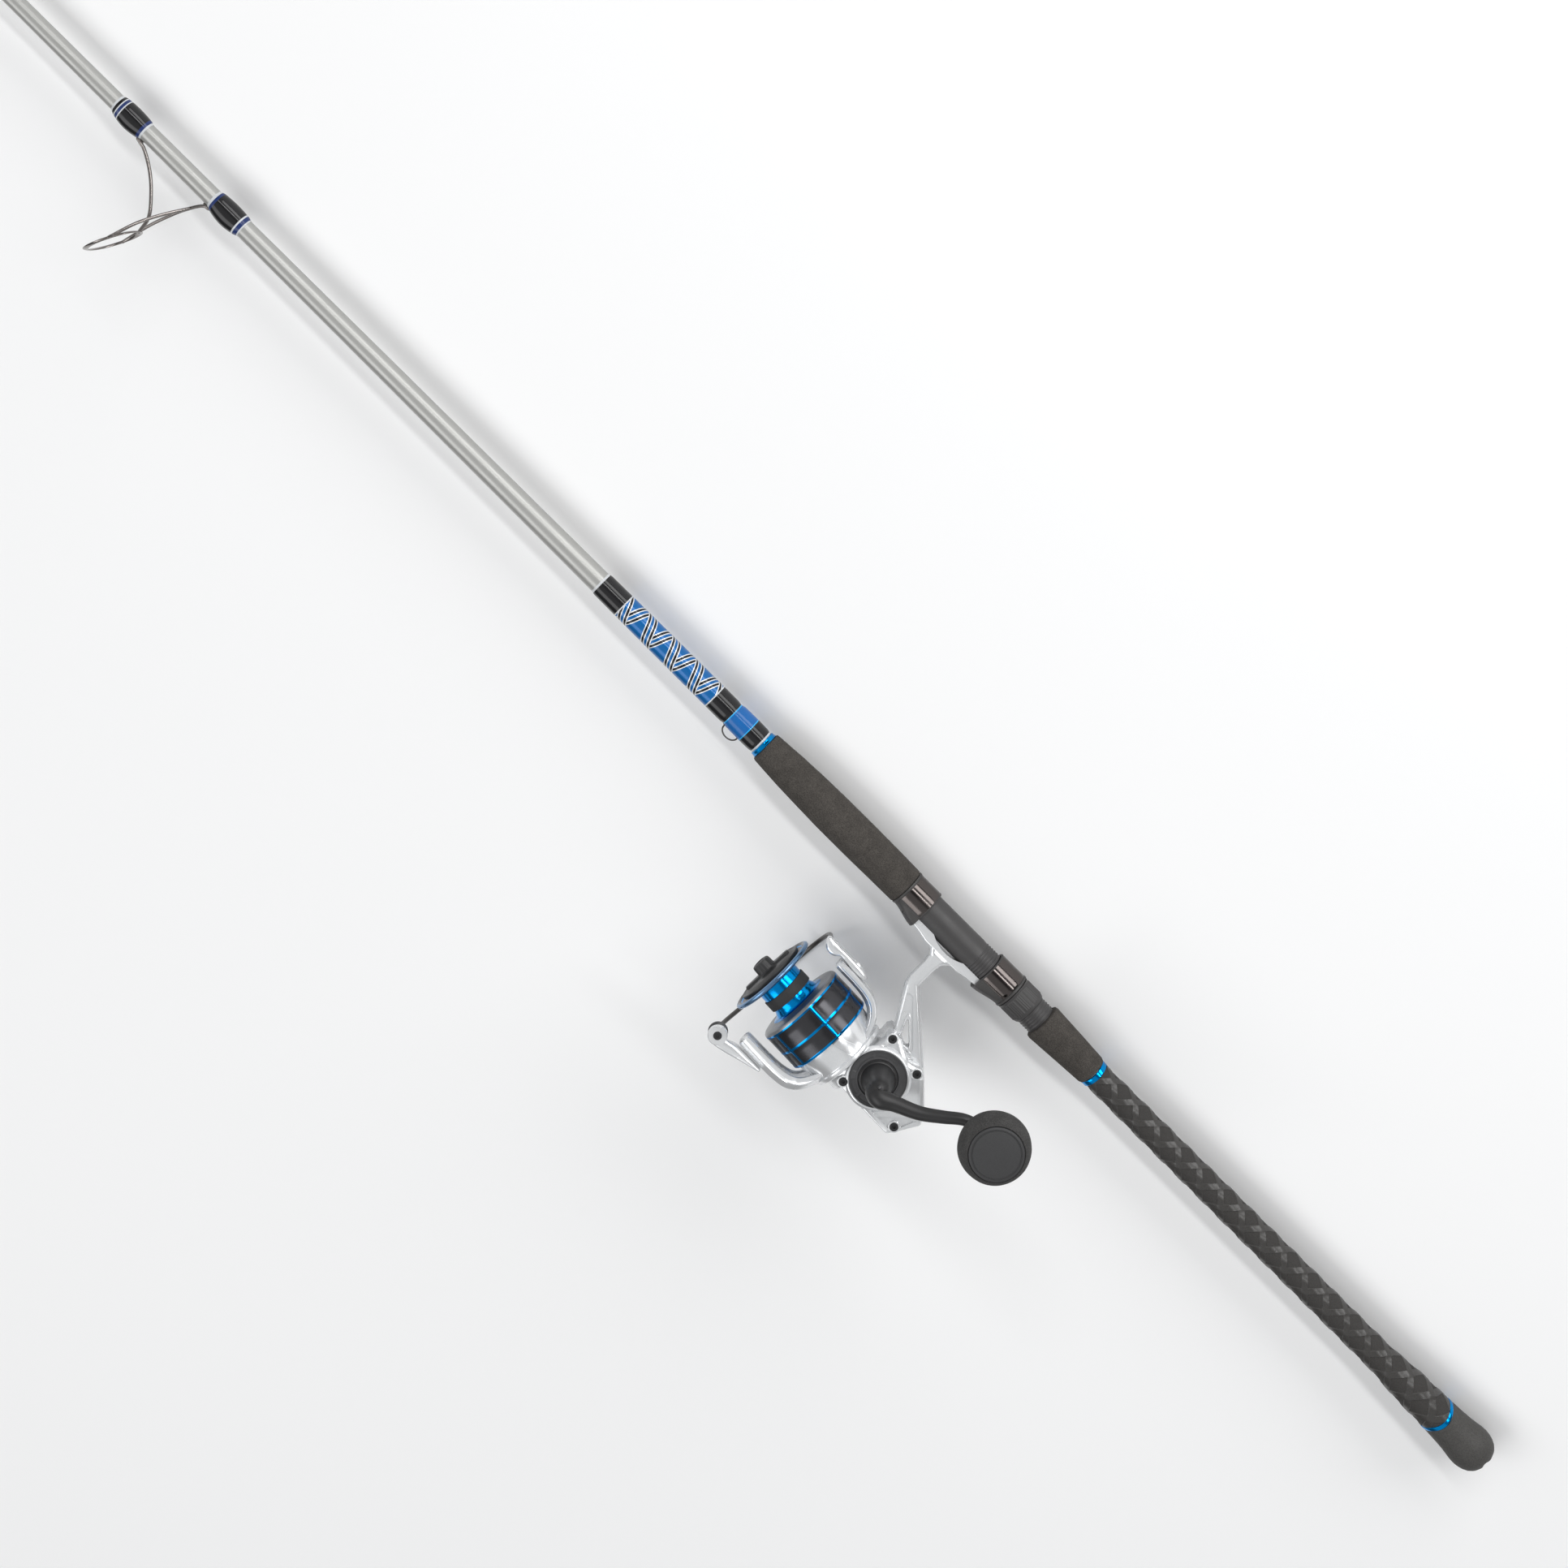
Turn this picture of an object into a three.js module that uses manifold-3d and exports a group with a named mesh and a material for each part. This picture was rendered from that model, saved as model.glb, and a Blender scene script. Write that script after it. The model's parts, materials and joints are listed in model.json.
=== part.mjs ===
// A seven-foot spinning rod with its fixed-spool reel, laid down on its side on a floor.
//
// Design frame, before the whole is laid down: X runs along the rod, with the butt end at x = 0 and
// the tip at negative x. The reel hangs towards -Y and its crank stands towards +Z. A station is a
// distance forwards, of the butt end on the rod and of the crank's plane on the reel, so a station s
// lies at x = -s. All lengths are millimetres and all angles are degrees.

import * as THREE from 'three';
import { mergeVertices } from 'three/addons/utils/BufferGeometryUtils.js';
import Module from 'manifold-3d';

const wasm = await Module();
wasm.setup();

const radians = THREE.MathUtils.degToRad;

// ---------------------------------------------------------------- driving dimensions

const GAP = 0.2; // air between pieces that touch
const ROUND = 20; // facets round most turned pieces
const FLOOR_TILT = 24.5; // the reel is lifted this far off the floor by its bail wire

// Rod
const ROD_LENGTH = 2134;
const BLANK_RADIUS = 7.7; // through the grips
const BLANK_TIP_RADIUS = 1.1;
const BLANK_WALL = 1.2;
const TAPER_STATION = 640; // the blank tapers from here to the tip
const BUTT_RADIUS = 14.4;
const GIMBAL_WIDTH = 5.6;
const GIMBAL_DEPTH = 5;
const SEAT_RADIUS = 10;

// Stations of the grips, rings and seat parts, counted from the butt end
const BUTT_RING = 40;
const REAR_GRIP = 43;
const REAR_RING = 344.6;
const REAR_FOAM = 349.2;
const SEAT_REAR = 393.8;
const LOCK_NUT = 404;
const SLIDING_HOOD = 419;
const SLIDING_HOOD_MOUTH = 439.5;
const FIXED_HOOD_MOUTH = 492;
const FORE_GRIP = 510.5;
const FRONT_CHECK = 630.9;
const KEEPER_WRAP = 635.4;
const DECORATIVE_WRAP = 658.7;
const DECORATIVE_WRAP_END = 769.7;

// Reel
const REEL_STATION = 442.2; // of the crank axis
const REEL_DROP = 98.6; // of the spool axis below the rod axis
const SPOOL_TILT = 2; // the spool axis points up towards the first guide
const CRANK_RISE = 5.8; // of the crank axis above the spool axis
const HALF_BODY = 20;
const PARTING = 10.4; // height of the joint between housing and side cover
const SPOOL_RADIUS = 29;
const SPOOL_STROKE_CLEARANCE = 0.8;
const SHAFT_RADIUS = 2;
const BAIL_PIVOT = 56; // station of the bail's pivot
const ROLLER_STATION = 83.4;
const ROLLER_RADIUS_OUT = 48.7; // from the spool axis to the line roller's axis
const CRANK_REACH = 64.4; // knob axis behind the crank axis
const CRANK_LIFT = 29.9; // knob axis above the crank axis
const KNOB_RADIUS = 21.7;

// Gears: a straight-toothed pinion against a face gear, and a spur pair that drives the stroke
const PINION_TEETH = 8;
const DRIVE_TEETH = 36;
const PINION_PITCH_RADIUS = 3.2;
const PINION_ROOT = 2.6;
const PINION_TIP = 3.8;
const MESH_STATION = PINION_PITCH_RADIUS * DRIVE_TEETH / PINION_TEETH;
const FACE_WIDTH = 3;
const IDLER_TEETH = 12;
const STROKE_TEETH = 24;
const STROKE_MODULE = 1;
const STROKE_CRANK = 7; // eccentric pin's radius, half the spool's stroke
const IDLER_RADIUS = IDLER_TEETH * STROKE_MODULE / 2;
const STROKE_RADIUS = STROKE_TEETH * STROKE_MODULE / 2;
const STROKE_GEAR_DROP = 4.2; // stroke gear's axis below the crank axis
const STROKE_GEAR_BACK = Math.sqrt((IDLER_RADIUS + STROKE_RADIUS) ** 2 - STROKE_GEAR_DROP ** 2);

// ---------------------------------------------------------------- materials

const material = (color, roughness, metalness) =>
  new THREE.MeshStandardMaterial({ color, roughness, metalness });

const silverAlloy = () => material(0xc9cccf, 0.25, 0.9);
const darkAlloy = () => material(0x3a3b3d, 0.35, 0.7);
const steel = () => material(0x9a9c9f, 0.3, 1);
const gunmetal = () => material(0x55524f, 0.3, 1);
const blueAnodised = () => material(0x1480d8, 0.3, 0.8);
const foam = () => material(0x45423e, 0.95, 0);
const blackPlastic = () => material(0x232323, 0.5, 0);
const blackEpoxy = () => material(0x1b1a1a, 0.12, 0);
const graphite = () => material(0x3c3b3a, 0.6, 0.1);
const brass = () => material(0xb08d4a, 0.35, 1);

// ---------------------------------------------------------------- shape helpers

// A turned solid about the X axis. The profile holds [station, radius] pairs and runs forwards on
// the outside; a hollow one comes back down its bore and closes on its first point.
function turned(profile, segments = ROUND) {
  const points = profile.map(([station, radius]) => new THREE.Vector2(radius, station));
  const geometry = new THREE.LatheGeometry(points, segments);
  return geometry.rotateZ(Math.PI / 2);
}

// A turned solid about the Z axis through (x, y), from [height, radius] pairs.
function turnedUp(profile, x = 0, y = 0, segments = ROUND) {
  const points = profile.map(([height, radius]) => new THREE.Vector2(radius, height));
  const geometry = new THREE.LatheGeometry(points, segments);
  return geometry.rotateX(Math.PI / 2).translate(x, y, 0);
}

// A ring or sleeve about the X axis between two stations.
function sleeve(from, to, inner, outer, segments = ROUND) {
  return turned([[from, inner], [from, outer], [to, outer], [to, inner], [from, inner]], segments);
}

function disc(from, to, radius, segments = ROUND) {
  return turned([[from, 0], [from, radius], [to, radius], [to, 0]], segments);
}

function post(low, high, radius, x = 0, y = 0, segments = ROUND) {
  return turnedUp([[low, 0], [low, radius], [high, radius], [high, 0]], x, y, segments);
}

function washer(low, high, inner, outer, x = 0, y = 0) {
  const profile = [[low, inner], [low, outer], [high, outer], [high, inner], [low, inner]];
  return turnedUp(profile, x, y);
}

// A block between two corners.
function block([x0, y0, z0], [x1, y1, z1]) {
  const geometry = new THREE.BoxGeometry(x1 - x0, y1 - y0, z1 - z0);
  return geometry.translate((x0 + x1) / 2, (y0 + y1) / 2, (z0 + z1) / 2);
}

// A plate whose side outline holds [station, height] pairs, between two heights above the XY plane.
// A chamfer takes the corner off both faces.
function plate(outline, low, high, chamfer = 0) {
  const shape = new THREE.Shape(outline.map(([station, y]) => new THREE.Vector2(-station, y)));
  const geometry = new THREE.ExtrudeGeometry(shape, {
    depth: high - low - 2 * chamfer,
    bevelEnabled: chamfer > 0,
    bevelThickness: chamfer,
    bevelSize: chamfer,
    bevelOffset: -chamfer,
    bevelSegments: 1,
  });
  return geometry.translate(0, 0, low + chamfer);
}

// A round bar along a smooth curve through [station, y, z] points.
function wire(points, radius, steps = 24, sides = 8) {
  const route = points.map(([station, y, z]) => new THREE.Vector3(-station, y, z));
  const section = new THREE.Shape();
  section.absarc(0, 0, radius, 0, 2 * Math.PI);
  return new THREE.ExtrudeGeometry(section, {
    steps,
    curveSegments: sides / 2,
    extrudePath: new THREE.CatmullRomCurve3(route),
  });
}

// A round limb that tapers from one [back, rise, height, radius] point to the next.
function limb(points, sides = 10) {
  const parts = [];
  for (let i = 0; i < points.length - 1; i += 1) {
    const [x0, y0, z0, r0] = points[i];
    const [x1, y1, z1, r1] = points[i + 1];
    const from = new THREE.Vector3(x0, y0, z0);
    const along = new THREE.Vector3(x1, y1, z1).sub(from);
    const cone = new THREE.CylinderGeometry(r1, r0, along.length(), sides);
    cone.translate(0, along.length() / 2, 0);
    const up = new THREE.Vector3(0, 1, 0);
    cone.applyQuaternion(new THREE.Quaternion().setFromUnitVectors(up, along.normalize()));
    parts.push(cone.translate(x0, y0, z0));
    parts.push(new THREE.SphereGeometry(r0 * 0.99, sides, 6).translate(x0, y0, z0));
  }
  return parts;
}

// A gear's outline about the origin, with straight-flanked teeth; the first tooth points to phase.
function gearShape(teeth, root, tip, rootShare, tipShare, phase) {
  const shape = new THREE.Shape();
  const pitch = 2 * Math.PI / teeth;
  const corner = (radius, angle) => [radius * Math.cos(angle), radius * Math.sin(angle)];
  for (let i = 0; i < teeth; i += 1) {
    const middle = phase + i * pitch;
    const corners = [
      corner(root, middle - rootShare * pitch / 2),
      corner(tip, middle - tipShare * pitch / 2),
      corner(tip, middle + tipShare * pitch / 2),
      corner(root, middle + rootShare * pitch / 2),
    ];
    corners.forEach(([x, y], k) => (i + k === 0 ? shape.moveTo(x, y) : shape.lineTo(x, y)));
  }
  shape.closePath();
  return shape;
}

function gearBlank(shape, low, high) {
  const geometry = new THREE.ExtrudeGeometry(shape, { depth: high - low, bevelEnabled: false });
  return geometry.translate(0, 0, low);
}

// ---------------------------------------------------------------- solids

function solid(geometry) {
  const bare = geometry.index ? geometry.toNonIndexed() : geometry.clone();
  bare.deleteAttribute('normal');
  bare.deleteAttribute('uv');
  const merged = mergeVertices(bare, 1e-4);
  const corners = merged.index.array;
  const kept = [];
  for (let i = 0; i < corners.length; i += 3) {
    const [a, b, c] = [corners[i], corners[i + 1], corners[i + 2]];
    if (a !== b && b !== c && a !== c) kept.push(a, b, c);
  }
  return new wasm.Manifold(new wasm.Mesh({
    numProp: 3,
    vertProperties: merged.attributes.position.array,
    triVerts: new Uint32Array(kept),
  }));
}

const joined = (...geometries) => geometries.map(solid).reduce((sum, next) => sum.add(next));

const cut = (body, ...tools) => tools.map(solid).reduce((rest, tool) => rest.subtract(tool), body);

function geometryOf(made) {
  const { numProp, vertProperties, triVerts } = made.getMesh();
  const count = vertProperties.length / numProp;
  const positions = new Float32Array(count * 3);
  for (let i = 0; i < count; i += 1) {
    positions.set(vertProperties.subarray(i * numProp, i * numProp + 3), i * 3);
  }
  const geometry = new THREE.BufferGeometry();
  geometry.setAttribute('position', new THREE.BufferAttribute(positions, 3));
  geometry.setIndex(new THREE.BufferAttribute(new Uint32Array(triVerts), 1));
  geometry.computeVertexNormals();
  return geometry;
}

function piece(parent, name, shape, look) {
  const geometry = shape.isBufferGeometry ? shape : geometryOf(shape);
  const mesh = new THREE.Mesh(geometry, look);
  mesh.name = name;
  parent.add(mesh);
  return mesh;
}

// ---------------------------------------------------------------- rod: blank, grips and rings

const rod = new THREE.Group();

const blankRadius = (station) => {
  const along = Math.max(0, (station - TAPER_STATION) / (ROD_LENGTH - TAPER_STATION));
  return THREE.MathUtils.lerp(BLANK_RADIUS, BLANK_TIP_RADIUS, along);
};

const BLANK_START = 9;
const BORE_END = 1700;
piece(rod, 'blank', turned([
  [BLANK_START, BLANK_RADIUS - BLANK_WALL],
  [BLANK_START, BLANK_RADIUS],
  [TAPER_STATION, BLANK_RADIUS],
  [ROD_LENGTH - 6, blankRadius(ROD_LENGTH - 6)],
  [ROD_LENGTH - 6, 0],
  [BORE_END, 0],
  [BORE_END - 8, blankRadius(BORE_END) - BLANK_WALL],
  [TAPER_STATION, BLANK_RADIUS - BLANK_WALL],
  [BLANK_START, BLANK_RADIUS - BLANK_WALL],
]), material(0xb9bab7, 0.4, 0.5));

const buttCap = joined(turned([
  [0, 0],
  [0, 6.5],
  [2.4, 10.4],
  [7, 13.2],
  [13.5, BUTT_RADIUS],
  [21, 13.6],
  [30, 12.6],
  [BUTT_RING - GAP, 12.1],
  [BUTT_RING - GAP, BLANK_RADIUS + GAP],
  [BLANK_START - GAP, BLANK_RADIUS + GAP],
  [BLANK_START - GAP, 0],
]));
const gimbalReach = BUTT_RADIUS + 1;
piece(rod, 'butt_cap', cut(
  buttCap,
  block([-GIMBAL_DEPTH, -GIMBAL_WIDTH / 2, -gimbalReach], [1, GIMBAL_WIDTH / 2, gimbalReach]),
  block([-GIMBAL_DEPTH, -gimbalReach, -GIMBAL_WIDTH / 2], [1, gimbalReach, GIMBAL_WIDTH / 2]),
), material(0x3b3937, 0.85, 0));

const onBlank = BLANK_RADIUS + GAP;
piece(rod, 'butt_ring', sleeve(BUTT_RING, REAR_GRIP - GAP, onBlank, 12.3), blueAnodised());
piece(rod, 'rear_grip', turned([
  [REAR_GRIP, onBlank],
  [REAR_GRIP, 12],
  [62, 11.7],
  [98, 9.7],
  [220, 9.4],
  [REAR_RING - GAP, 8.9],
  [REAR_RING - GAP, onBlank],
  [REAR_GRIP, onBlank],
]), graphite());
piece(rod, 'rear_grip_ring', sleeve(REAR_RING, REAR_FOAM - GAP, onBlank, 9.2), blueAnodised());
piece(rod, 'rear_eva_grip', turned([
  [REAR_FOAM, onBlank],
  [REAR_FOAM, 9.4],
  [REAR_FOAM + 1.6, 10.2],
  [SEAT_REAR - 2, 12.6],
  [SEAT_REAR - GAP, 11.6],
  [SEAT_REAR - GAP, onBlank],
  [REAR_FOAM, onBlank],
]), foam());
piece(rod, 'fore_grip', turned([
  [FORE_GRIP, onBlank],
  [FORE_GRIP, 12.2],
  [565, 12.7],
  [600, 12],
  [620, 10.8],
  [FRONT_CHECK - GAP, 10.1],
  [FRONT_CHECK - GAP, onBlank],
  [FORE_GRIP, onBlank],
]), foam());
piece(rod, 'winding_check', turned([
  [FRONT_CHECK, onBlank],
  [FRONT_CHECK, 9],
  [FRONT_CHECK + 2.6, 8.9],
  [FRONT_CHECK + 4.2, 8.4],
  [FRONT_CHECK + 4.2, onBlank],
  [FRONT_CHECK, onBlank],
]), blueAnodised());

// ---------------------------------------------------------------- rod: thread wraps

const WRAP_THICKNESS = 0.45;

// A varnished thread wrap that follows the blank's taper and swells by a bulge at its middle.
function wrapShape(from, to, bulge = 0, facets = ROUND) {
  const under = (station) => blankRadius(station) + GAP;
  const over = (station) => blankRadius(station) + GAP + WRAP_THICKNESS;
  const middle = (from + to) / 2;
  const quarter = (to - from) / 4;
  return turned([
    [from, under(from)],
    [from, over(from)],
    [middle - quarter, over(middle - quarter) + bulge],
    [middle + quarter, over(middle + quarter) + bulge],
    [to, over(to)],
    [to, under(to)],
    [from, under(from)],
  ], facets);
}

piece(
  rod,
  'decorative_wrap',
  wrapShape(DECORATIVE_WRAP, DECORATIVE_WRAP_END),
  material(0x1b5fb4, 0.12, 0.3),
);

// The hook keeper is a half loop of wire whose two feet are bound under the keeper wrap.
const KEEPER_WIRE = 0.5;
const KEEPER_HALF = 4.9;
const KEEPER_STATION = 652;
const KEEPER_FOOT = blankRadius(KEEPER_STATION) + GAP + KEEPER_WIRE * 1.25;
const keeperRoute = [
  [KEEPER_STATION - KEEPER_HALF - 1.4, -KEEPER_FOOT, 0],
  [KEEPER_STATION - KEEPER_HALF, -KEEPER_FOOT - 0.5, 0],
  [KEEPER_STATION - KEEPER_HALF * 0.72, -KEEPER_FOOT - 2.9, 0],
  [KEEPER_STATION, -KEEPER_FOOT - 4.3, 0],
  [KEEPER_STATION + KEEPER_HALF * 0.72, -KEEPER_FOOT - 2.9, 0],
  [KEEPER_STATION + KEEPER_HALF, -KEEPER_FOOT - 0.5, 0],
  [KEEPER_STATION + KEEPER_HALF + 1.4, -KEEPER_FOOT, 0],
];
piece(rod, 'keeper_wrap', cut(
  joined(wrapShape(KEEPER_WRAP, DECORATIVE_WRAP - GAP, 0.5)),
  wire(keeperRoute, KEEPER_WIRE + GAP, 14, 6),
), material(0x2a6fd0, 0.15, 0));
piece(rod, 'hook_keeper', wire(keeperRoute, KEEPER_WIRE, 14, 6), gunmetal());

// ---------------------------------------------------------------- rod: line guides

// A guide's ring leans forwards. Its frame is bent wire: one or two legs run from the ring to feet
// that lie along the blank, and each foot is bound by a wrap.
const RING_LEAN = 27;
const FOOT_THICKNESS = 0.9; // of a foot, as a share of its wire's radius

function ringGeometry(station, drop, radius, wireRadius) {
  const geometry = new THREE.TorusGeometry(radius, wireRadius, 6, 20);
  geometry.rotateY(Math.PI / 2);
  geometry.rotateZ(radians(-RING_LEAN));
  return geometry.translate(-station, -drop, 0);
}

// The point of a ring at an angle from its top, the place nearest the blank.
function ringPoint(station, drop, radius, angle) {
  const up = radius * Math.cos(radians(angle));
  const lean = radians(RING_LEAN);
  return [
    station - up * Math.sin(lean),
    -drop + up * Math.cos(lean),
    radius * Math.sin(radians(angle)),
  ];
}

function footGeometry(from, to, height, width) {
  const [low, high] = [Math.min(from, to), Math.max(from, to)];
  const top = -blankRadius(low) - GAP;
  return plate([[low, top], [low, top - height], [high, top - height], [high, top]], -width / 2, width / 2);
}

// How a leg bends on its way from its foot to the ring: shares of the way along the rod, down from
// the blank and out to the side.
const REAR_LEG = [[0.28, 0.19, 0.06], [0.53, 0.4, 0.4], [0.78, 0.66, 0.76]];
const FRONT_LEG = [[0.09, 0.02, 0], [0.43, 0.21, 0], [0.73, 0.47, 0], [0.95, 0.74, 0]];
const between = (from, to, share) =>
  from.map((start, axis) => THREE.MathUtils.lerp(start, to[axis], share[axis]));

function guide(name, spec) {
  const { ring, drop, radius, wireRadius, rearFoot, frontFoot } = spec;
  const footHeight = wireRadius * FOOT_THICKNESS;
  const footLine = (station) => -blankRadius(station) - 2 * GAP - wireRadius;
  const bars = [ringGeometry(ring, drop, radius, wireRadius)];
  const [rearRoot, rearEnd] = rearFoot;
  for (const side of [-1, 1]) {
    const grip = ringPoint(ring, drop, radius, side * 78);
    bars.push(wire([
      [rearRoot - 1, footLine(rearRoot), 0],
      ...REAR_LEG.map((share) => between([rearRoot, footLine(rearRoot), 0], grip, share)),
      grip,
    ], wireRadius * 0.86, 8, 6));
  }
  bars.push(footGeometry(rearRoot + 1, rearEnd, footHeight, wireRadius * 2.6));
  if (frontFoot) {
    const [frontRoot, frontEnd] = frontFoot;
    const crown = ringPoint(ring, drop, radius, 0);
    bars.push(wire([
      [frontRoot + 1, footLine(frontRoot), 0],
      ...FRONT_LEG.map((share) => between([frontRoot, footLine(frontRoot), 0], crown, share)),
      crown,
    ], wireRadius * 0.95, 8, 6));
    bars.push(footGeometry(frontRoot - 1, frontEnd, footHeight, wireRadius * 2.6));
  }
  piece(rod, name, joined(...bars), gunmetal());
}

// A wrap over a foot is carved out for it, and swells towards the reel side where the foot lies.
function guideWrap(name, from, to, footHeight, footWidth) {
  const swell = footHeight + 0.5;
  const middle = (from + to) / 2;
  const height = blankRadius(middle) + WRAP_THICKNESS + swell * 0.5;
  const sleeveShape = wrapShape(from, to, swell * 0.75, 16).translate(0, -swell * 0.22, 0);
  const bore = turned([
    [from - 1, 0],
    [from - 1, blankRadius(from) + GAP],
    [to + 1, blankRadius(to) + GAP],
    [to + 1, 0],
  ], 16);
  const footSlot = block(
    [-to - 1, -height * 2, -footWidth / 2 - GAP],
    [-from + 1, 0, footWidth / 2 + GAP],
  );
  const slotRoof = block(
    [-to - 2, -height * 4, -footWidth],
    [-from + 2, -blankRadius(from) - 2.5 * GAP - footHeight, footWidth],
  );
  const slot = joined(footSlot).subtract(solid(slotRoof));
  piece(rod, name, cut(joined(sleeveShape), bore).subtract(slot), blackEpoxy());
}

const STRIPPER = { ring: 1112, drop: 59.5, radius: 16.4, wireRadius: 1.25 };
const GUIDES = [
  { ...STRIPPER, name: 'stripper_guide', rearFoot: [1088, 1066], frontFoot: [1138.8, 1160] },
  { name: 'guide_2', ring: 1480, drop: 34, radius: 9.6, wireRadius: 1, rearFoot: [1467, 1450],
    frontFoot: [1494, 1511] },
  { name: 'guide_3', ring: 1740, drop: 21.5, radius: 6.6, wireRadius: 0.8, rearFoot: [1732, 1717] },
  { name: 'guide_4', ring: 1910, drop: 15, radius: 5, wireRadius: 0.7, rearFoot: [1904, 1891] },
  { name: 'guide_5', ring: 2030, drop: 11, radius: 4, wireRadius: 0.6, rearFoot: [2025, 2013] },
];
const WRAP_OVERHANG = 4;
for (const spec of GUIDES) {
  guide(spec.name, spec);
  const footHeight = spec.wireRadius * FOOT_THICKNESS;
  const footWidth = spec.wireRadius * 2.6;
  const [rearRoot, rearEnd] = spec.rearFoot;
  const rearName = spec.frontFoot ? `${spec.name}_rear_wrap` : `${spec.name}_wrap`;
  guideWrap(rearName, rearEnd - WRAP_OVERHANG, rearRoot - 1.5, footHeight, footWidth);
  if (spec.frontFoot) {
    const [frontRoot, frontEnd] = spec.frontFoot;
    guideWrap(`${spec.name}_front_wrap`, frontRoot + 1.5, frontEnd + WRAP_OVERHANG, footHeight, footWidth);
  }
}

const TIP_TUBE = 1.9;
const TIP_TUBE_START = ROD_LENGTH - 22;
const tipRing = ringGeometry(ROD_LENGTH - 1.5, 5.6, 3.1, 0.8);
const tipStays = [-1, 1].map((side) => wire([
  [ROD_LENGTH - 14, -1.6, side * 0.4],
  [ROD_LENGTH - 8, -3.4, side * 1.6],
  ringPoint(ROD_LENGTH - 1.5, 5.6, 3.1, side * 90),
], 0.55, 5, 6));
piece(rod, 'tip_top', cut(
  joined(disc(TIP_TUBE_START, ROD_LENGTH - 4, TIP_TUBE, 16), tipRing, ...tipStays),
  disc(TIP_TUBE_START - 1, ROD_LENGTH - 5.6, blankRadius(TIP_TUBE_START) + GAP, 16),
), gunmetal());
piece(
  rod,
  'tip_wrap',
  sleeve(TIP_TUBE_START - 9, TIP_TUBE_START - GAP, blankRadius(TIP_TUBE_START - 9) + GAP, 2),
  blackEpoxy(),
);

// ---------------------------------------------------------------- rod: reel seat

const THREAD_RADIUS = 10.3;
const THREAD_PITCH = 5.2;
const THREAD_FRONT = 451;
const seatProfile = [[SEAT_REAR, onBlank]];
for (let station = SEAT_REAR; station < THREAD_FRONT; station += THREAD_PITCH) {
  seatProfile.push([station, SEAT_RADIUS - 0.3], [station + THREAD_PITCH / 2, THREAD_RADIUS]);
}
seatProfile.push([THREAD_FRONT + 1, SEAT_RADIUS], [FORE_GRIP - GAP, SEAT_RADIUS]);
seatProfile.push([FORE_GRIP - GAP, onBlank], [SEAT_REAR, onBlank]);
piece(rod, 'reel_seat', turned(seatProfile), graphite());

// The reel's foot is a long plate, hollowed to sit on the seat, and thinner at its ends.
const FOOT_REAR = 430;
const FOOT_FRONT = 502;
const FOOT_HALF_WIDTH = 6.4;
const FOOT_HOLLOW = THREAD_RADIUS + GAP;
const footOutline = (grow) => [
  [FOOT_REAR - grow, -7],
  [FOOT_REAR - grow, -12 - grow],
  [439, -12.5 - grow],
  [452, -14.4 - grow],
  [479, -14.4 - grow],
  [493, -12.5 - grow],
  [FOOT_FRONT + grow, -12 - grow],
  [FOOT_FRONT + grow, -7],
];
const footPocket = () =>
  plate(footOutline(GAP), -FOOT_HALF_WIDTH - GAP, FOOT_HALF_WIDTH + GAP);

// A hood is a collar with a wedge-shaped pocket on the reel side, deepest at its mouth.
function hood(back, mouth, inner, collar) {
  const step = Math.sign(mouth - back);
  const wedge = plate([
    [back + step * 0.6, -inner],
    [back + step * 0.6, -collar - 0.3],
    [mouth, -14.3],
    [mouth, -inner],
  ], -8.2, 8.2, 0.8);
  const [low, high] = [Math.min(back, mouth), Math.max(back, mouth)];
  const ring = turned([
    [low, 0],
    [low, collar - 0.5],
    [low + 0.8, collar],
    [high - 0.8, collar],
    [high, collar - 0.5],
    [high, 0],
  ]);
  return cut(joined(ring, wedge), disc(low - 1, high + 1, inner), footPocket());
}

piece(
  rod,
  'fixed_hood',
  hood(FORE_GRIP - GAP, FIXED_HOOD_MOUTH, SEAT_RADIUS + GAP, 11.8),
  material(0x1e1c1b, 0.1, 0.8),
);

// The lock nut and the sliding hood travel together along the thread when the reel is released.
const lockedHood = new THREE.Group();
rod.add(lockedHood);
piece(
  lockedHood,
  'sliding_hood',
  hood(SLIDING_HOOD + GAP, SLIDING_HOOD_MOUTH, THREAD_RADIUS + GAP, 12),
  material(0x1e1c1b, 0.1, 0.8),
);
const NUT_RADIUS = 11.2;
const nutRing = joined(turned([
  [LOCK_NUT, THREAD_RADIUS + GAP],
  [LOCK_NUT, NUT_RADIUS - 0.5],
  [LOCK_NUT + 0.8, NUT_RADIUS],
  [SLIDING_HOOD - 1.4, NUT_RADIUS],
  [SLIDING_HOOD - GAP, NUT_RADIUS + 0.4],
  [SLIDING_HOOD - GAP, THREAD_RADIUS + GAP],
  [LOCK_NUT, THREAD_RADIUS + GAP],
]));
const NUT_PANELS = 6;
const nutPanels = Array.from({ length: NUT_PANELS }, (_, i) =>
  block([-SLIDING_HOOD + 2.4, NUT_RADIUS - 0.6, -3.2], [-LOCK_NUT - 2, NUT_RADIUS + 0.3, 3.2])
    .rotateX(2 * Math.PI * (i + 0.5) / NUT_PANELS));
piece(lockedHood, 'lock_nut', nutPanels.map(solid).reduce((a, b) => a.add(b), nutRing), graphite());

// ---------------------------------------------------------------- reel: housing

const reel = new THREE.Group();
reel.position.set(-REEL_STATION, -REEL_DROP, 0);
reel.rotation.z = radians(-SPOOL_TILT);
rod.add(reel);

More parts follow.
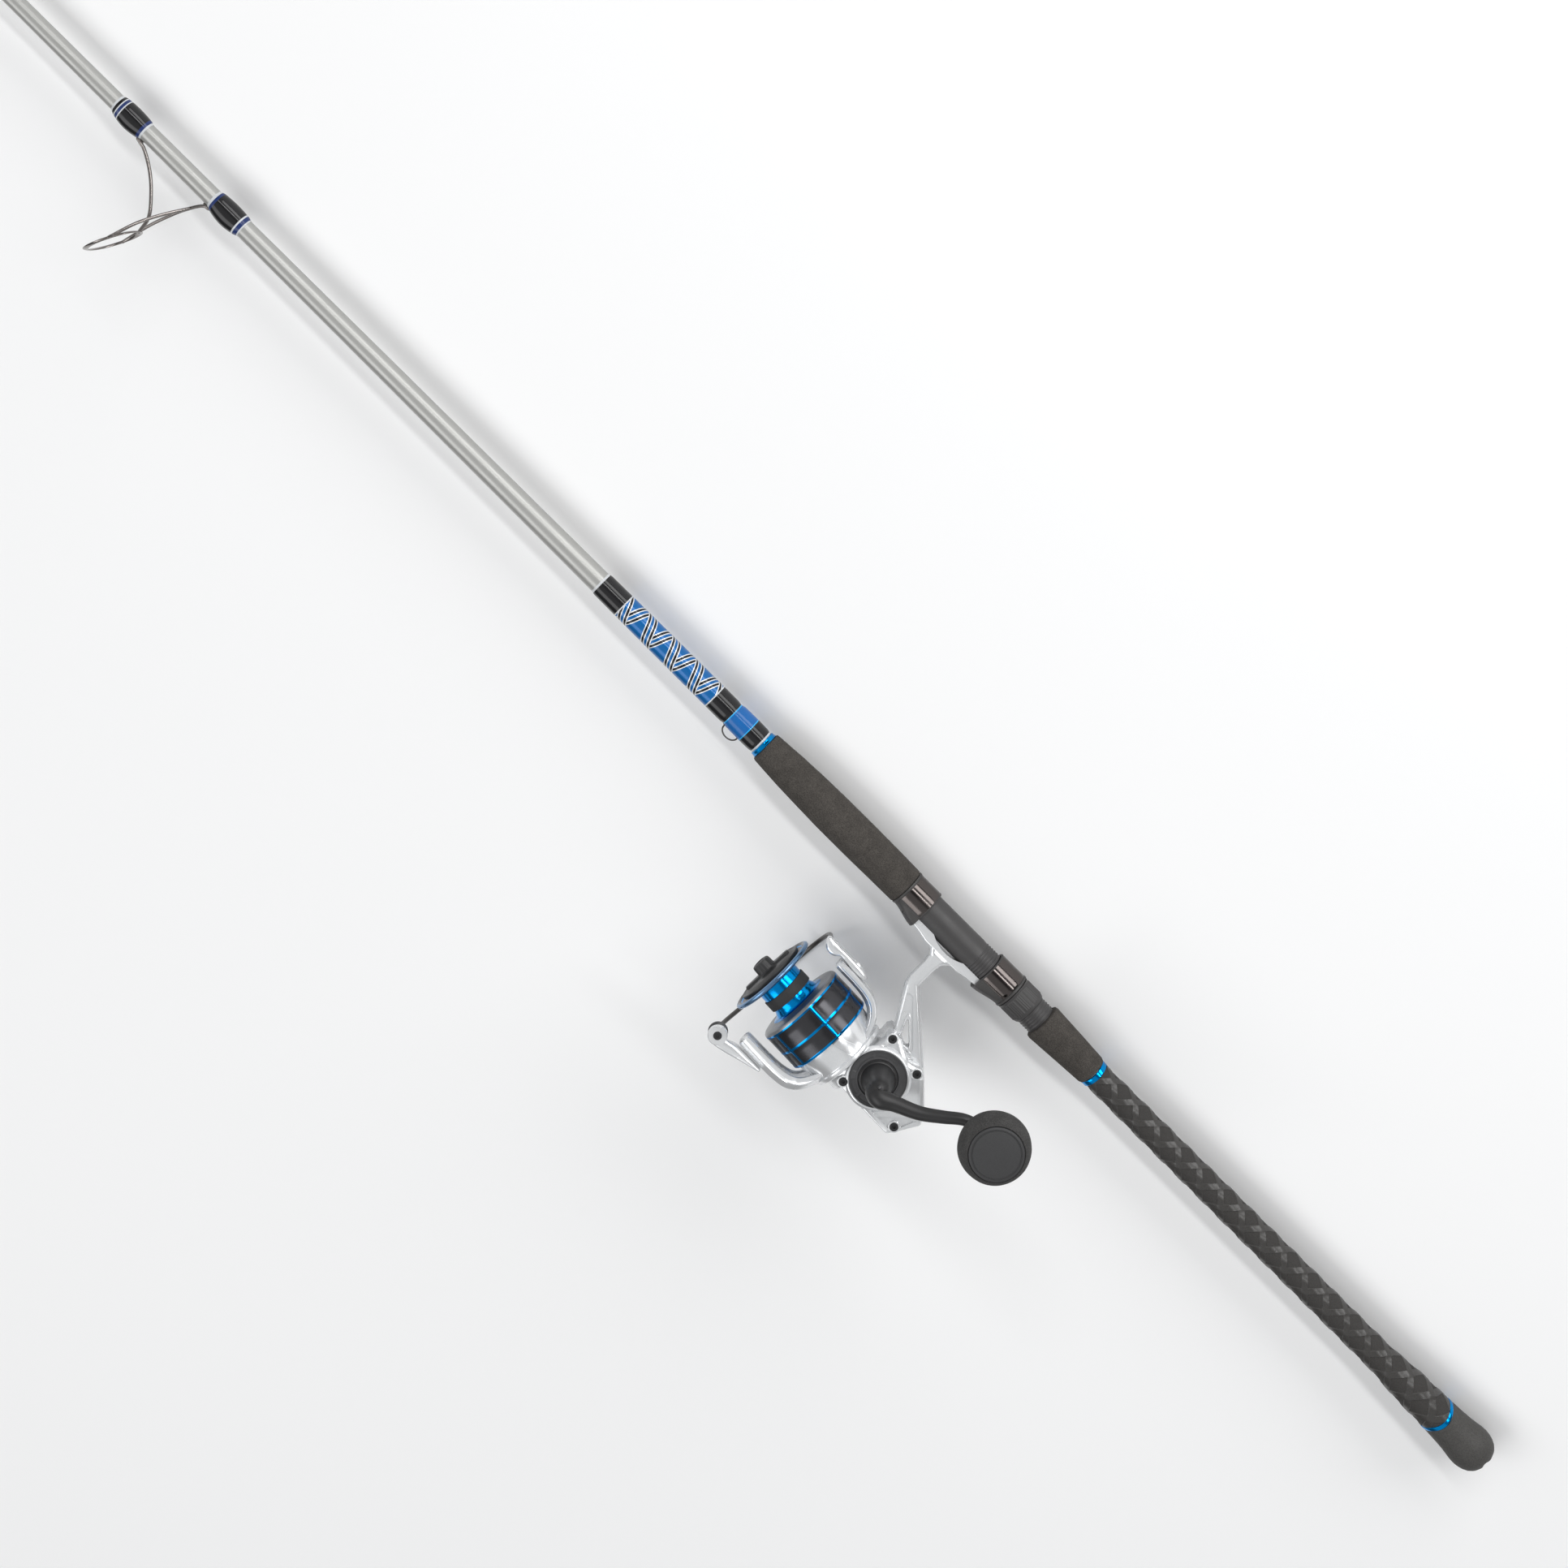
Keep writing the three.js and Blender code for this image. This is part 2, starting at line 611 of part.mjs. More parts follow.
const BODY_OUTLINE = [
  [-39.2, 4.6],
  [-35.6, 11.2],
  [-19.5, 26.2],
  [-13.4, 28.6],
  [-5, 26.4],
  [7, 32.2],
  [13.6, 32.4],
  [15.4, 29],
  [14.6, 24],
  [16.4, 18],
  [16.4, -10.6],
  [12, -14.2],
  [-28.5, -13.9],
  [-31.6, -9.4],
];
const SCREWS = [[11.8, 28.8], [-14, 24.8], [-28.4, -7.2], [13, -10.7]];
const SCREW_RADIUS = 1.5;
const SCREW_HEAD_RADIUS = 2.5;
const CAVITY_RADIUS = 17.6;
const FLOOR_OF_CAVITY = -16.8;
const BEARING_RADIUS = 6.2;
const DRIVE_SHAFT_RADIUS = 3.5;
const BEARING_WIDTH = 3.6;

const bodyBlock = () => joined(plate(BODY_OUTLINE, -HALF_BODY, HALF_BODY, 2.4));
const everythingAbove = (z) => block([-90, -60, z], [90, 120, 60]);
const everythingBelow = (z) => block([-90, -60, -60], [90, 120, z]);

// The stem and foot keep square to the rod, so they are turned back by the spool's tilt.
function squareToRod(geometry) {
  return geometry.translate(REEL_STATION, REEL_DROP, 0).rotateZ(radians(SPOOL_TILT));
}

function stemGeometry() {
  const outline = new THREE.Shape();
  outline.moveTo(-480, -13.5);
  outline.quadraticCurveTo(-470.6, -15.5, -470.4, -23);
  outline.lineTo(-470.2, -37);
  outline.quadraticCurveTo(-470.2, -41, -466.5, -46);
  outline.lineTo(-453, -68.5);
  outline.lineTo(-453, -82);
  outline.lineTo(-411, -82);
  outline.lineTo(-462.2, -36.5);
  outline.lineTo(-462.2, -24);
  outline.quadraticCurveTo(-462, -15.5, -452, -13.5);
  outline.closePath();
  const window = new THREE.Path();
  window.moveTo(-454.4, -53.2);
  window.lineTo(-447.4, -68.2);
  window.lineTo(-438.2, -69);
  window.closePath();
  outline.holes.push(window);
  const half = 6.2;
  const geometry = new THREE.ExtrudeGeometry(outline, {
    depth: 2 * half - 2,
    curveSegments: 4,
    bevelEnabled: true,
    bevelThickness: 1,
    bevelSize: 1,
    bevelOffset: -1,
    bevelSegments: 1,
  });
  return geometry.translate(0, 0, 1 - half);
}

const footSolid = cut(
  joined(plate(footOutline(0), -FOOT_HALF_WIDTH, FOOT_HALF_WIDTH)),
  disc(FOOT_REAR - 2, FOOT_FRONT + 2, FOOT_HOLLOW),
);
const footAndStem = solid(squareToRod(geometryOf(footSolid.add(solid(stemGeometry())))));

const crankAxis = [0, CRANK_RISE];
const strokeAxis = [STROKE_GEAR_BACK, CRANK_RISE - STROKE_GEAR_DROP];
const NECK_FRONT = 30;
const NECK_RADIUS = 14;
const PINION_BEARING = [18.6, 22.8];
const CLUTCH = [23.2, 29];

let housing = bodyBlock().subtract(solid(everythingAbove(PARTING)));
housing = housing.add(footAndStem);
housing = housing.add(solid(disc(10, 20, 20.6, 32)));
housing = housing.add(solid(disc(15, NECK_FRONT, NECK_RADIUS)));
housing = cut(
  housing,
  post(FLOOR_OF_CAVITY, HALF_BODY + 1, CAVITY_RADIUS, ...crankAxis, 32),
  post(FLOOR_OF_CAVITY, HALF_BODY + 1, STROKE_RADIUS + 1.6, ...strokeAxis),
  block([4, -9.6, -7.6], [29.8, 9.8, HALF_BODY + 1]),
  everythingAbove(HALF_BODY - 2),
);
const rearScrew = SCREWS[2];
housing = housing.add(solid(post(3.4, PARTING, 3.4, -rearScrew[0], rearScrew[1])));
housing = housing.add(solid(post(FLOOR_OF_CAVITY - 1, -13, BEARING_RADIUS + 2, ...crankAxis)));
housing = housing.add(solid(post(FLOOR_OF_CAVITY - 1, -8.6, 2, ...strokeAxis, 12)));
housing = cut(
  housing,
  post(-HALF_BODY + 3, -12, BEARING_RADIUS + GAP, ...crankAxis),
  post(-HALF_BODY - 1, -12, DRIVE_SHAFT_RADIUS + 0.6, ...crankAxis),
  disc(8, NECK_FRONT + 1, PINION_TIP + 0.4, 16),
  disc(PINION_BEARING[0] - GAP, NECK_FRONT + 1, 8.2),
  disc(CLUTCH[0] - GAP, NECK_FRONT + 1, 11.2),
  ...SCREWS.map(([station, y]) => post(2, HALF_BODY, SCREW_RADIUS + GAP, -station, y, 12)),
);
// The neck and the stem close over the parting plane only outside the side cover.
piece(reel, 'housing', housing, silverAlloy());

const COVER_GAP = 0.3;
let sideCover = bodyBlock().subtract(solid(everythingBelow(PARTING + COVER_GAP)));
sideCover = sideCover.add(solid(washer(HALF_BODY - 2, HALF_BODY + 1.4, 17.7, 18.3, ...crankAxis)));
sideCover = cut(
  sideCover,
  post(PARTING, 16.6, 16.4, ...crankAxis, 32),
  disc(10, 40, 20.6 + COVER_GAP, 32),
);
sideCover = sideCover.add(solid(post(PARTING + COVER_GAP, 17.5, BEARING_RADIUS + 2, ...crankAxis)));
sideCover = cut(
  sideCover,
  post(PARTING, 14.6, BEARING_RADIUS + GAP, ...crankAxis),
  post(PARTING, HALF_BODY + 2, DRIVE_SHAFT_RADIUS + 0.6, ...crankAxis),
  ...SCREWS.map(([station, y]) => post(PARTING, HALF_BODY + 1, SCREW_RADIUS + GAP, -station, y, 12)),
  ...SCREWS.map(([station, y]) =>
    post(HALF_BODY - 1.6, HALF_BODY + 1, SCREW_HEAD_RADIUS + GAP, -station, y, 16)),
);
// Where the housing's stem rises through the parting plane, the cover is relieved for it.
sideCover = sideCover.subtract(solid(squareToRod(block([-480, -66.5, 0], [-400, -10, 7]))));
piece(reel, 'side_cover', sideCover, silverAlloy());

piece(
  reel,
  'cover_ring',
  washer(HALF_BODY + GAP, HALF_BODY + 1, 12.6, 17.5, ...crankAxis),
  darkAlloy(),
);
piece(reel, 'far_side_cap', joined(
  post(-HALF_BODY - 2.4, -HALF_BODY - GAP, 8, ...crankAxis),
  post(-HALF_BODY - 1, -17.4, DRIVE_SHAFT_RADIUS, ...crankAxis, 16),
), darkAlloy());
SCREWS.forEach(([station, y], index) => {
  piece(reel, `housing_screw_${index + 1}`, joined(
    post(4, HALF_BODY - 1, SCREW_RADIUS, -station, y, 12),
    post(HALF_BODY - 1.4, HALF_BODY + 0.4, SCREW_HEAD_RADIUS, -station, y, 16),
  ), blackPlastic());
});

// ---------------------------------------------------------------- reel: bearings and gears

const onDriveShaft = DRIVE_SHAFT_RADIUS + 0.15;
piece(
  reel,
  'drive_bearing_far',
  washer(-HALF_BODY + 3.2, -HALF_BODY + 3.2 + BEARING_WIDTH, onDriveShaft, BEARING_RADIUS, ...crankAxis),
  steel(),
);
piece(
  reel,
  'drive_bearing_near',
  washer(14.4 - BEARING_WIDTH, 14.4, onDriveShaft, BEARING_RADIUS, ...crankAxis),
  steel(),
);
piece(reel, 'pinion_bearing', sleeve(...PINION_BEARING, PINION_TIP + 0.15, 8), steel());
piece(reel, 'anti_reverse_clutch', sleeve(...CLUTCH, PINION_TIP + 0.15, 11), darkAlloy());

const TOOTH_TIP_HEIGHT = PINION_ROOT + 0.2;
const DISC_HEIGHT = PINION_TIP + 0.3;
const TOOTH_THICKNESS = 0.95;

const crank = new THREE.Group();
crank.position.set(0, CRANK_RISE, 0);
reel.add(crank);

// The face gear's teeth are straight and tangent to a circle as large as the crank's rise, so the
// tooth over the pinion lies along the pinion's axis.
const faceTeeth = Array.from({ length: DRIVE_TEETH }, (_, i) =>
  block(
    [-MESH_STATION - FACE_WIDTH / 2, -CRANK_RISE - TOOTH_THICKNESS / 2, TOOTH_TIP_HEIGHT],
    [-MESH_STATION + FACE_WIDTH / 2, -CRANK_RISE + TOOTH_THICKNESS / 2, DISC_HEIGHT + 0.5],
  ).rotateZ(2 * Math.PI * i / DRIVE_TEETH));
const DISC_RADIUS = Math.hypot(MESH_STATION + FACE_WIDTH / 2, CRANK_RISE);
const strokeDirection = Math.atan2(-STROKE_GEAR_DROP, STROKE_GEAR_BACK);
const idlerShape = gearShape(
  IDLER_TEETH, IDLER_RADIUS - 1.1, IDLER_RADIUS + 0.8, 0.62, 0.3, strokeDirection);
let driveGear = joined(
  post(DISC_HEIGHT, 8, DISC_RADIUS, 0, 0, 36),
  post(-16.4, 15.4, DRIVE_SHAFT_RADIUS),
  post(6, 10.2, 6),
  gearBlank(idlerShape, -12, -9),
  ...faceTeeth,
);
driveGear = cut(driveGear, post(4, 16, 2.6, 0, 0, 16));
piece(crank, 'drive_gear', driveGear, brass());

const strokeGearGroup = new THREE.Group();
strokeGearGroup.position.set(...strokeAxis, 0);
reel.add(strokeGearGroup);
const strokeShape = gearShape(
  STROKE_TEETH, STROKE_RADIUS - 1.1, STROKE_RADIUS + 0.8, 0.58, 0.3,
  strokeDirection + Math.PI + Math.PI / STROKE_TEETH);
const SLIDER_LOW = -6.8;
piece(strokeGearGroup, 'oscillation_gear', cut(
  joined(
    gearBlank(strokeShape, -12, -9),
    post(-16.4, -8.9, 4),
    post(-9.5, SLIDER_LOW - 0.3, 1.6, STROKE_CRANK, 0, 12),
  ),
  post(-18, -8, 2.25, 0, 0, 12),
), blackPlastic());

const pinionShape = gearShape(
  PINION_TEETH, PINION_ROOT, PINION_TIP, 0.5, 0.26, Math.PI / PINION_TEETH);
const pinionTeeth = gearBlank(pinionShape, 12, 17.2).rotateY(-Math.PI / 2);
piece(reel, 'pinion_gear', cut(
  joined(pinionTeeth, disc(17, 38.6, PINION_TIP - 0.1)),
  disc(10, 40, SHAFT_RADIUS + 0.18, 16),
), brass());

// ---------------------------------------------------------------- reel: crank and knob

const HUB_BASE = HALF_BODY + 1.4;
const HUB_TOP = 50;
const CRANK_END_HEIGHT = 59;
const KNOB_LOW = 62.4;
const KNOB_HIGH = 97;
const KNOB_SPINDLE = 3;
const hub = turnedUp([
  [HUB_BASE, 0],
  [HUB_BASE, 11.2],
  [24, 11.8],
  [30, 10.4],
  [37, 7.8],
  [44, 6.4],
  [HUB_TOP - 2, 5.6],
  [HUB_TOP, 3],
  [HUB_TOP, 0],
]);
const armPoints = [
  [0.6, -1, 42, 7.4],
  [2.4, -4, 46.4, 7.2],
  [11.3, 0.8, 49.4, 4.9],
  [25.5, 8.2, 52, 4.3],
  [36, 17, 54.6, 3.9],
  [46, 26.6, 57.6, 3.5],
  [CRANK_REACH, CRANK_LIFT, CRANK_END_HEIGHT, 3.5],
];
const knobAxis = [CRANK_REACH, CRANK_LIFT];
piece(crank, 'handle_arm', joined(
  hub,
  ...limb(armPoints),
  post(CRANK_END_HEIGHT - 2.8, CRANK_END_HEIGHT + 2.8, 5, ...knobAxis),
  post(CRANK_END_HEIGHT, 90, KNOB_SPINDLE, ...knobAxis, 16),
  post(6.5, HUB_BASE + 1, 2.3, 0, 0, 16),
), blackPlastic());

const knobTurn = new THREE.Group();
knobTurn.position.set(...knobAxis, 0);
crank.add(knobTurn);
const CAP_RADIUS = 16.4;
const knobBore = KNOB_SPINDLE + 0.25;
piece(knobTurn, 'handle_knob', turnedUp([
  [KNOB_LOW, knobBore],
  [KNOB_LOW, 8],
  [KNOB_LOW + 1.5, 12],
  [67, 17.2],
  [73, 20.6],
  [79, KNOB_RADIUS],
  [86, 20.8],
  [92, 18.6],
  [KNOB_HIGH - 2, CAP_RADIUS + 0.6],
  [KNOB_HIGH - 2, CAP_RADIUS + GAP],
  [93, CAP_RADIUS + GAP],
  [93, knobBore],
  [KNOB_LOW, knobBore],
]), foam());
piece(knobTurn, 'knob_cap', turnedUp([
  [93.2, 0],
  [93.2, CAP_RADIUS],
  [KNOB_HIGH - 1, CAP_RADIUS],
  [KNOB_HIGH, CAP_RADIUS - 1],
  [KNOB_HIGH, 0],
]), blackPlastic());

// ---------------------------------------------------------------- reel: rotor

const rotorGroup = new THREE.Group();
reel.add(rotorGroup);

const ROTOR_REAR = 18.6;
const CUP_RADIUS = 25.6;
const rotorCup = turned([
  [ROTOR_REAR, 21.8],
  [ROTOR_REAR, 23.6],
  [21, 25],
  [30, CUP_RADIUS],
  [50, CUP_RADIUS],
  [50, 23.4],
  [35.6, 23.4],
  [35.6, PINION_TIP + 0.15],
  [31.2, PINION_TIP + 0.15],
  [31.2, 14.8],
  [20.8, 14.8],
  [20.8, 21.8],
  [ROTOR_REAR, 21.8],
], 32);

// The two arms leave the cup's rear and turn forwards outside the spool. The lower one is deeper,
// because it holds the bail's spring.
const UPPER_ARM = [
  [19, 21],
  [19.2, 28],
  [23, 34.4],
  [29, 37.8],
  [36, 38.4],
  [62, 38.4],
  [64.2, 36.6],
  [64.2, 34],
  [35, 33.4],
  [29.4, 30.4],
  [26.6, 26],
  [26.6, 21],
];
const LOWER_ARM = [
  [19, -21],
  [19.4, -30.6],
  [24, -38.8],
  [31, -43.4],
  [38, -44.3],
  [62, -43.9],
  [65, -41.6],
  [65, -36.4],
  [60, -35.6],
  [36, -31.8],
  [29.6, -29],
  [26.6, -25.6],
  [26.6, -21],
];
const ARM_HALF_WIDTH = 8;
let rotor = joined(
  rotorCup,
  plate(UPPER_ARM, -ARM_HALF_WIDTH, ARM_HALF_WIDTH, 1.2),
  plate(LOWER_ARM, -ARM_HALF_WIDTH, ARM_HALF_WIDTH, 1.2),
);
rotor = cut(rotor, disc(20.8, 31.2, 14.8), disc(18, 20.8, 21.8, 32), disc(35.6, 51, 23.4, 32));
piece(rotorGroup, 'rotor', rotor, silverAlloy());
piece(rotorGroup, 'rotor_nut', cut(
  joined(disc(35.9, 38.9, 7, 6)),
  disc(35, 40, PINION_TIP + 0.15, 16),
), steel());

// ---------------------------------------------------------------- reel: bail and line roller

const bail = new THREE.Group();
bail.position.set(-BAIL_PIVOT, 0, 0);
rotorGroup.add(bail);

const fromPivot = ([station, ...rest]) => [station - BAIL_PIVOT, ...rest];

const LEVER_OUTLINE = [
  [46.6, 38.8],
  [47, 40.4],
  [52, 42],
  [62, 42.8],
  [76, 43],
  [79.6, 41.8],
  [80.4, 39.6],
  [78, 37.4],
  [75.4, 36.6],
  [73.8, 34.8],
  [71.4, 34.2],
  [69.2, 35.8],
  [68.6, 38.8],
].map(fromPivot);
piece(bail, 'bail_lever', plate(LEVER_OUTLINE, -4.6, 4.6, 0.8), silverAlloy());

const ROLLER_END_RADIUS = 6;
const armEnd = post(3.6, 7.8, ROLLER_END_RADIUS, BAIL_PIVOT - ROLLER_STATION, -ROLLER_RADIUS_OUT, 20);
const ARM_OUTLINE = [
  [47, -44.8],
  [47.4, -46.4],
  [60, -49.6],
  [74, -53.2],
  [ROLLER_STATION, -ROLLER_RADIUS_OUT - ROLLER_END_RADIUS],
  [ROLLER_STATION, -ROLLER_RADIUS_OUT + 3],
  [77, -46.6],
  [72.6, -47.6],
  [68.6, -45.6],
  [66, -44.8],
].map(fromPivot);
const armRoot = ARM_OUTLINE.filter(([station]) => station < 74.5 - BAIL_PIVOT);
piece(bail, 'bail_arm', cut(
  joined(
    plate(ARM_OUTLINE, 3.6, 7.8, 0.6),
    plate(armRoot, -7.4, 7.8, 0.8),
    armEnd,
  ),
  post(0, 9, 1.5, BAIL_PIVOT - ROLLER_STATION, -ROLLER_RADIUS_OUT, 12),
), silverAlloy());

// The wire leaves the far side of the line roller, loops behind the spool and ends in the lever.
const WIRE_RADIUS = 1.4;
const WIRE_DEPTH = 55;
const bailRoute = [
  [ROLLER_STATION, -ROLLER_RADIUS_OUT, -5],
  [ROLLER_STATION - 0.2, -ROLLER_RADIUS_OUT - 0.2, -12],
  [82, -45.6, -26],
  [79.4, -35.6, -41],
  [77.4, -19, -51.5],
  [76.6, -1, -WIRE_DEPTH],
  [76.4, 17, -51.5],
  [77, 32, -41],
  [78, 39.6, -25],
  [78, 40.4, -12],
  [77.6, 40.4, -5],
].map(fromPivot);
const ferrule = turnedUp([
  [-10.5, 0],
  [-10.5, WIRE_RADIUS + 0.2],
  [-5.6, 4.4],
  [-4.2, 4.8],
  [-4.2, 0],
], BAIL_PIVOT - ROLLER_STATION, -ROLLER_RADIUS_OUT, 16);
piece(bail, 'bail_wire', cut(
  joined(wire(bailRoute, WIRE_RADIUS, 28), ferrule),
  post(-8, -3, 1.5, BAIL_PIVOT - ROLLER_STATION, -ROLLER_RADIUS_OUT, 12),
), gunmetal());

const roller = new THREE.Group();
roller.position.set(BAIL_PIVOT - ROLLER_STATION, -ROLLER_RADIUS_OUT, 0);
bail.add(roller);
piece(roller, 'line_roller', turnedUp([
  [-3.9, 1.75],
  [-3.9, 5.2],
  [-2.6, 5.2],
  [-0.6, 3.8],
  [2.2, 5.2],
  [3.3, 5.2],
  [3.3, 1.75],
  [-3.9, 1.75],
]), darkAlloy());
piece(bail, 'roller_screw', joined(
  post(-7.2, 8, 1.3, BAIL_PIVOT - ROLLER_STATION, -ROLLER_RADIUS_OUT, 12),
  post(8, 9, 2.6, BAIL_PIVOT - ROLLER_STATION, -ROLLER_RADIUS_OUT, 12),
), blackPlastic());

// ---------------------------------------------------------------- reel: shaft, spool and drag

const spoolGroup = new THREE.Group();
reel.add(spoolGroup);

const SHAFT_REAR = -27;
const SHAFT_FRONT = 95;
const SKIRT_REAR = 36;
const SKIRT_FRONT = 64;
const SKIRT_BORE = CUP_RADIUS + SPOOL_STROKE_CLEARANCE + 0.2;
const ARBOR_RADIUS = 14.2;
const LIP_FRONT = 88.6;
const DRAG_WELL_RADIUS = 22.8;
const spoolBore = SHAFT_RADIUS + 0.2;

piece(spoolGroup, 'main_shaft', disc(SHAFT_REAR, SHAFT_FRONT, SHAFT_RADIUS, 16), steel());
piece(spoolGroup, 'spool', turned([
  [SKIRT_REAR, SKIRT_BORE],
  [SKIRT_REAR, SPOOL_RADIUS - 0.4],
  [SKIRT_REAR + 1, SPOOL_RADIUS],
  [SKIRT_FRONT - 1, SPOOL_RADIUS],
  [SKIRT_FRONT, SPOOL_RADIUS - 1],
  [65, 15.4],
  [66, ARBOR_RADIUS],
  [82, ARBOR_RADIUS],
  [83.4, 17],
  [85.4, 27.6],
  [86.2, SPOOL_RADIUS],
  [LIP_FRONT - 0.6, SPOOL_RADIUS],
  [LIP_FRONT, 27.6],
  [LIP_FRONT - 1.4, DRAG_WELL_RADIUS + 1],
  [LIP_FRONT - 1.8, DRAG_WELL_RADIUS],
  [78, DRAG_WELL_RADIUS - 10],
  [78, spoolBore],
  [52, spoolBore],
  [52, 8],
  [60.6, 8],
  [60.6, SKIRT_BORE],
  [SKIRT_REAR, SKIRT_BORE],
], 32), material(0x2b2c2e, 0.2, 0.7));

const bandRadius = ARBOR_RADIUS + GAP;
piece(spoolGroup, 'arbor_band', sleeve(70, 77.6, bandRadius, bandRadius + 0.7, 32), blackPlastic());
const DRAG_WASHER_RADIUS = 11.6;
piece(spoolGroup, 'drag_stack', sleeve(78.4, 84.9, spoolBore + 0.6, DRAG_WASHER_RADIUS, 16), graphite());

const KNOB_GRIP_WIDTH = 8.4;
const dragDisc = turned([
  [85.3, 0],
  [85.3, 19],
  [88, DRAG_WELL_RADIUS - 0.6],
  [90, DRAG_WELL_RADIUS - 1],
  [92, 17],
  [93, 8],
  [93, 0],
]);
const dragGrip = block(
  [-98.4, -5.6, -KNOB_GRIP_WIDTH / 2],
  [-91, 5.6, KNOB_GRIP_WIDTH / 2],
);
const dragGripBulb = disc(91, 98.2, 5.6, 16);
piece(spoolGroup, 'drag_knob', cut(
  joined(dragDisc, dragGrip, dragGripBulb),
  disc(84, SHAFT_FRONT + 0.4, spoolBore, 16),
), blackPlastic());

const SLIDER_HALF = 4;
const sliderMiddle = -STROKE_GEAR_BACK - STROKE_CRANK;
const slider = joined(block(
  [-sliderMiddle - SLIDER_HALF, -8.6, SLIDER_LOW],
  [-sliderMiddle + SLIDER_HALF, 8.6, 2.4],
));
piece(spoolGroup, 'oscillation_slider', cut(
  slider,
  block([-sliderMiddle - 1.9, -7.2, SLIDER_LOW - 1], [-sliderMiddle + 1.9, 9, SLIDER_LOW + 3.4]),
  disc(sliderMiddle - 6, sliderMiddle + 6, spoolBore, 16),
), steel());

// ---------------------------------------------------------------- laid on the floor

// The rod rolls about its own axis until the bail wire and the butt cap both touch the floor, and
// the origin is the middle of the floor area that the whole covers.
rod.rotation.x = radians(-FLOOR_TILT);
const rodAndReel = new THREE.Group();
rodAndReel.add(rod);
rodAndReel.updateMatrixWorld(true);
const bounds = new THREE.Box3().setFromObject(rodAndReel, true);
const middle = bounds.getCenter(new THREE.Vector3());
rod.position.set(-middle.x, -middle.y, -bounds.min.z);

export default rodAndReel;
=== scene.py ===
"""A seven-foot spinning rod with its fixed-spool reel, laid down on a pale floor.

Every shape is drawn in millimetres in one of two local frames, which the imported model's joints fix:
ROD has its origin at the butt end and REEL at the crank, both with X towards the butt, Y away from the
reel and Z towards the crank. A station is a distance forwards, so station s lies at x = -s.
"""

import json
import math
from contextlib import contextmanager

import bmesh
import bpy
from mathutils import Matrix, Vector


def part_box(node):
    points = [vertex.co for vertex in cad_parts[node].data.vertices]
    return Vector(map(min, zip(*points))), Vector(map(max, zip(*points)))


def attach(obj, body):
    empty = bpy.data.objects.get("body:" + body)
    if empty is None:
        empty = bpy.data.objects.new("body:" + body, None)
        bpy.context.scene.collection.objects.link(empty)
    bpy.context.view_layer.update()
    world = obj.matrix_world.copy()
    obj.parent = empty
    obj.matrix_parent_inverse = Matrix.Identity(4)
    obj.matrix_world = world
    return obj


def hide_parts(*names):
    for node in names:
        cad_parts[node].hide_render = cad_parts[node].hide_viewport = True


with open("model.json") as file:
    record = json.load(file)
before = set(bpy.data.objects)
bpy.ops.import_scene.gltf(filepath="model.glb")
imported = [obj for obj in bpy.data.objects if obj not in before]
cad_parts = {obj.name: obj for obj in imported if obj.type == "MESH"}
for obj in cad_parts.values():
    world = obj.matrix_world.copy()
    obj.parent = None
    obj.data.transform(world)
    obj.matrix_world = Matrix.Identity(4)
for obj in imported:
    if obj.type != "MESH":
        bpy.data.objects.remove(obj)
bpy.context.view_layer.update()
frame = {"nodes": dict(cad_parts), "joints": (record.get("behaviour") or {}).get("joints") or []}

MM = 0.001
TAU = 2 * math.pi

# ---------------------------------------------------------------- frames

JOINTS = {joint["name"]: joint for joint in frame["joints"]}


def local_frame(origin, x, z):
    place = Matrix((x, z.cross(x), z)).transposed().to_4x4()
    place.translation = origin
    return place @ Matrix.Scale(MM, 4)


def joint_point(name):
    return Vector(JOINTS[name]["pos_m"])


BUTT_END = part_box("butt_cap")[1].x
SIDEWAYS = Vector(JOINTS["handle_spin"]["axis"]).normalized()
NUT_POINT = joint_point("lock_nut_turn")
ROD = local_frame(Vector((BUTT_END, NUT_POINT.y, NUT_POINT.z)), Vector((1, 0, 0)), SIDEWAYS)
REEL = local_frame(joint_point("rotor_spin"), Vector(JOINTS["rotor_spin"]["axis"]), SIDEWAYS)


def on_reel(name):
    """Where a joint's axis crosses the reel frame's X and Y."""
    spot = REEL.inverted() @ joint_point(name)
    return spot.x, spot.y


CRANK = on_reel("handle_spin")
KNOB = on_reel("knob_spin")
PIVOT = on_reel("bail_turn")
ROLLER = on_reel("line_roller_spin")
STROKE_GEAR = on_reel("stroke_gear_spin")

# ---------------------------------------------------------------- materials


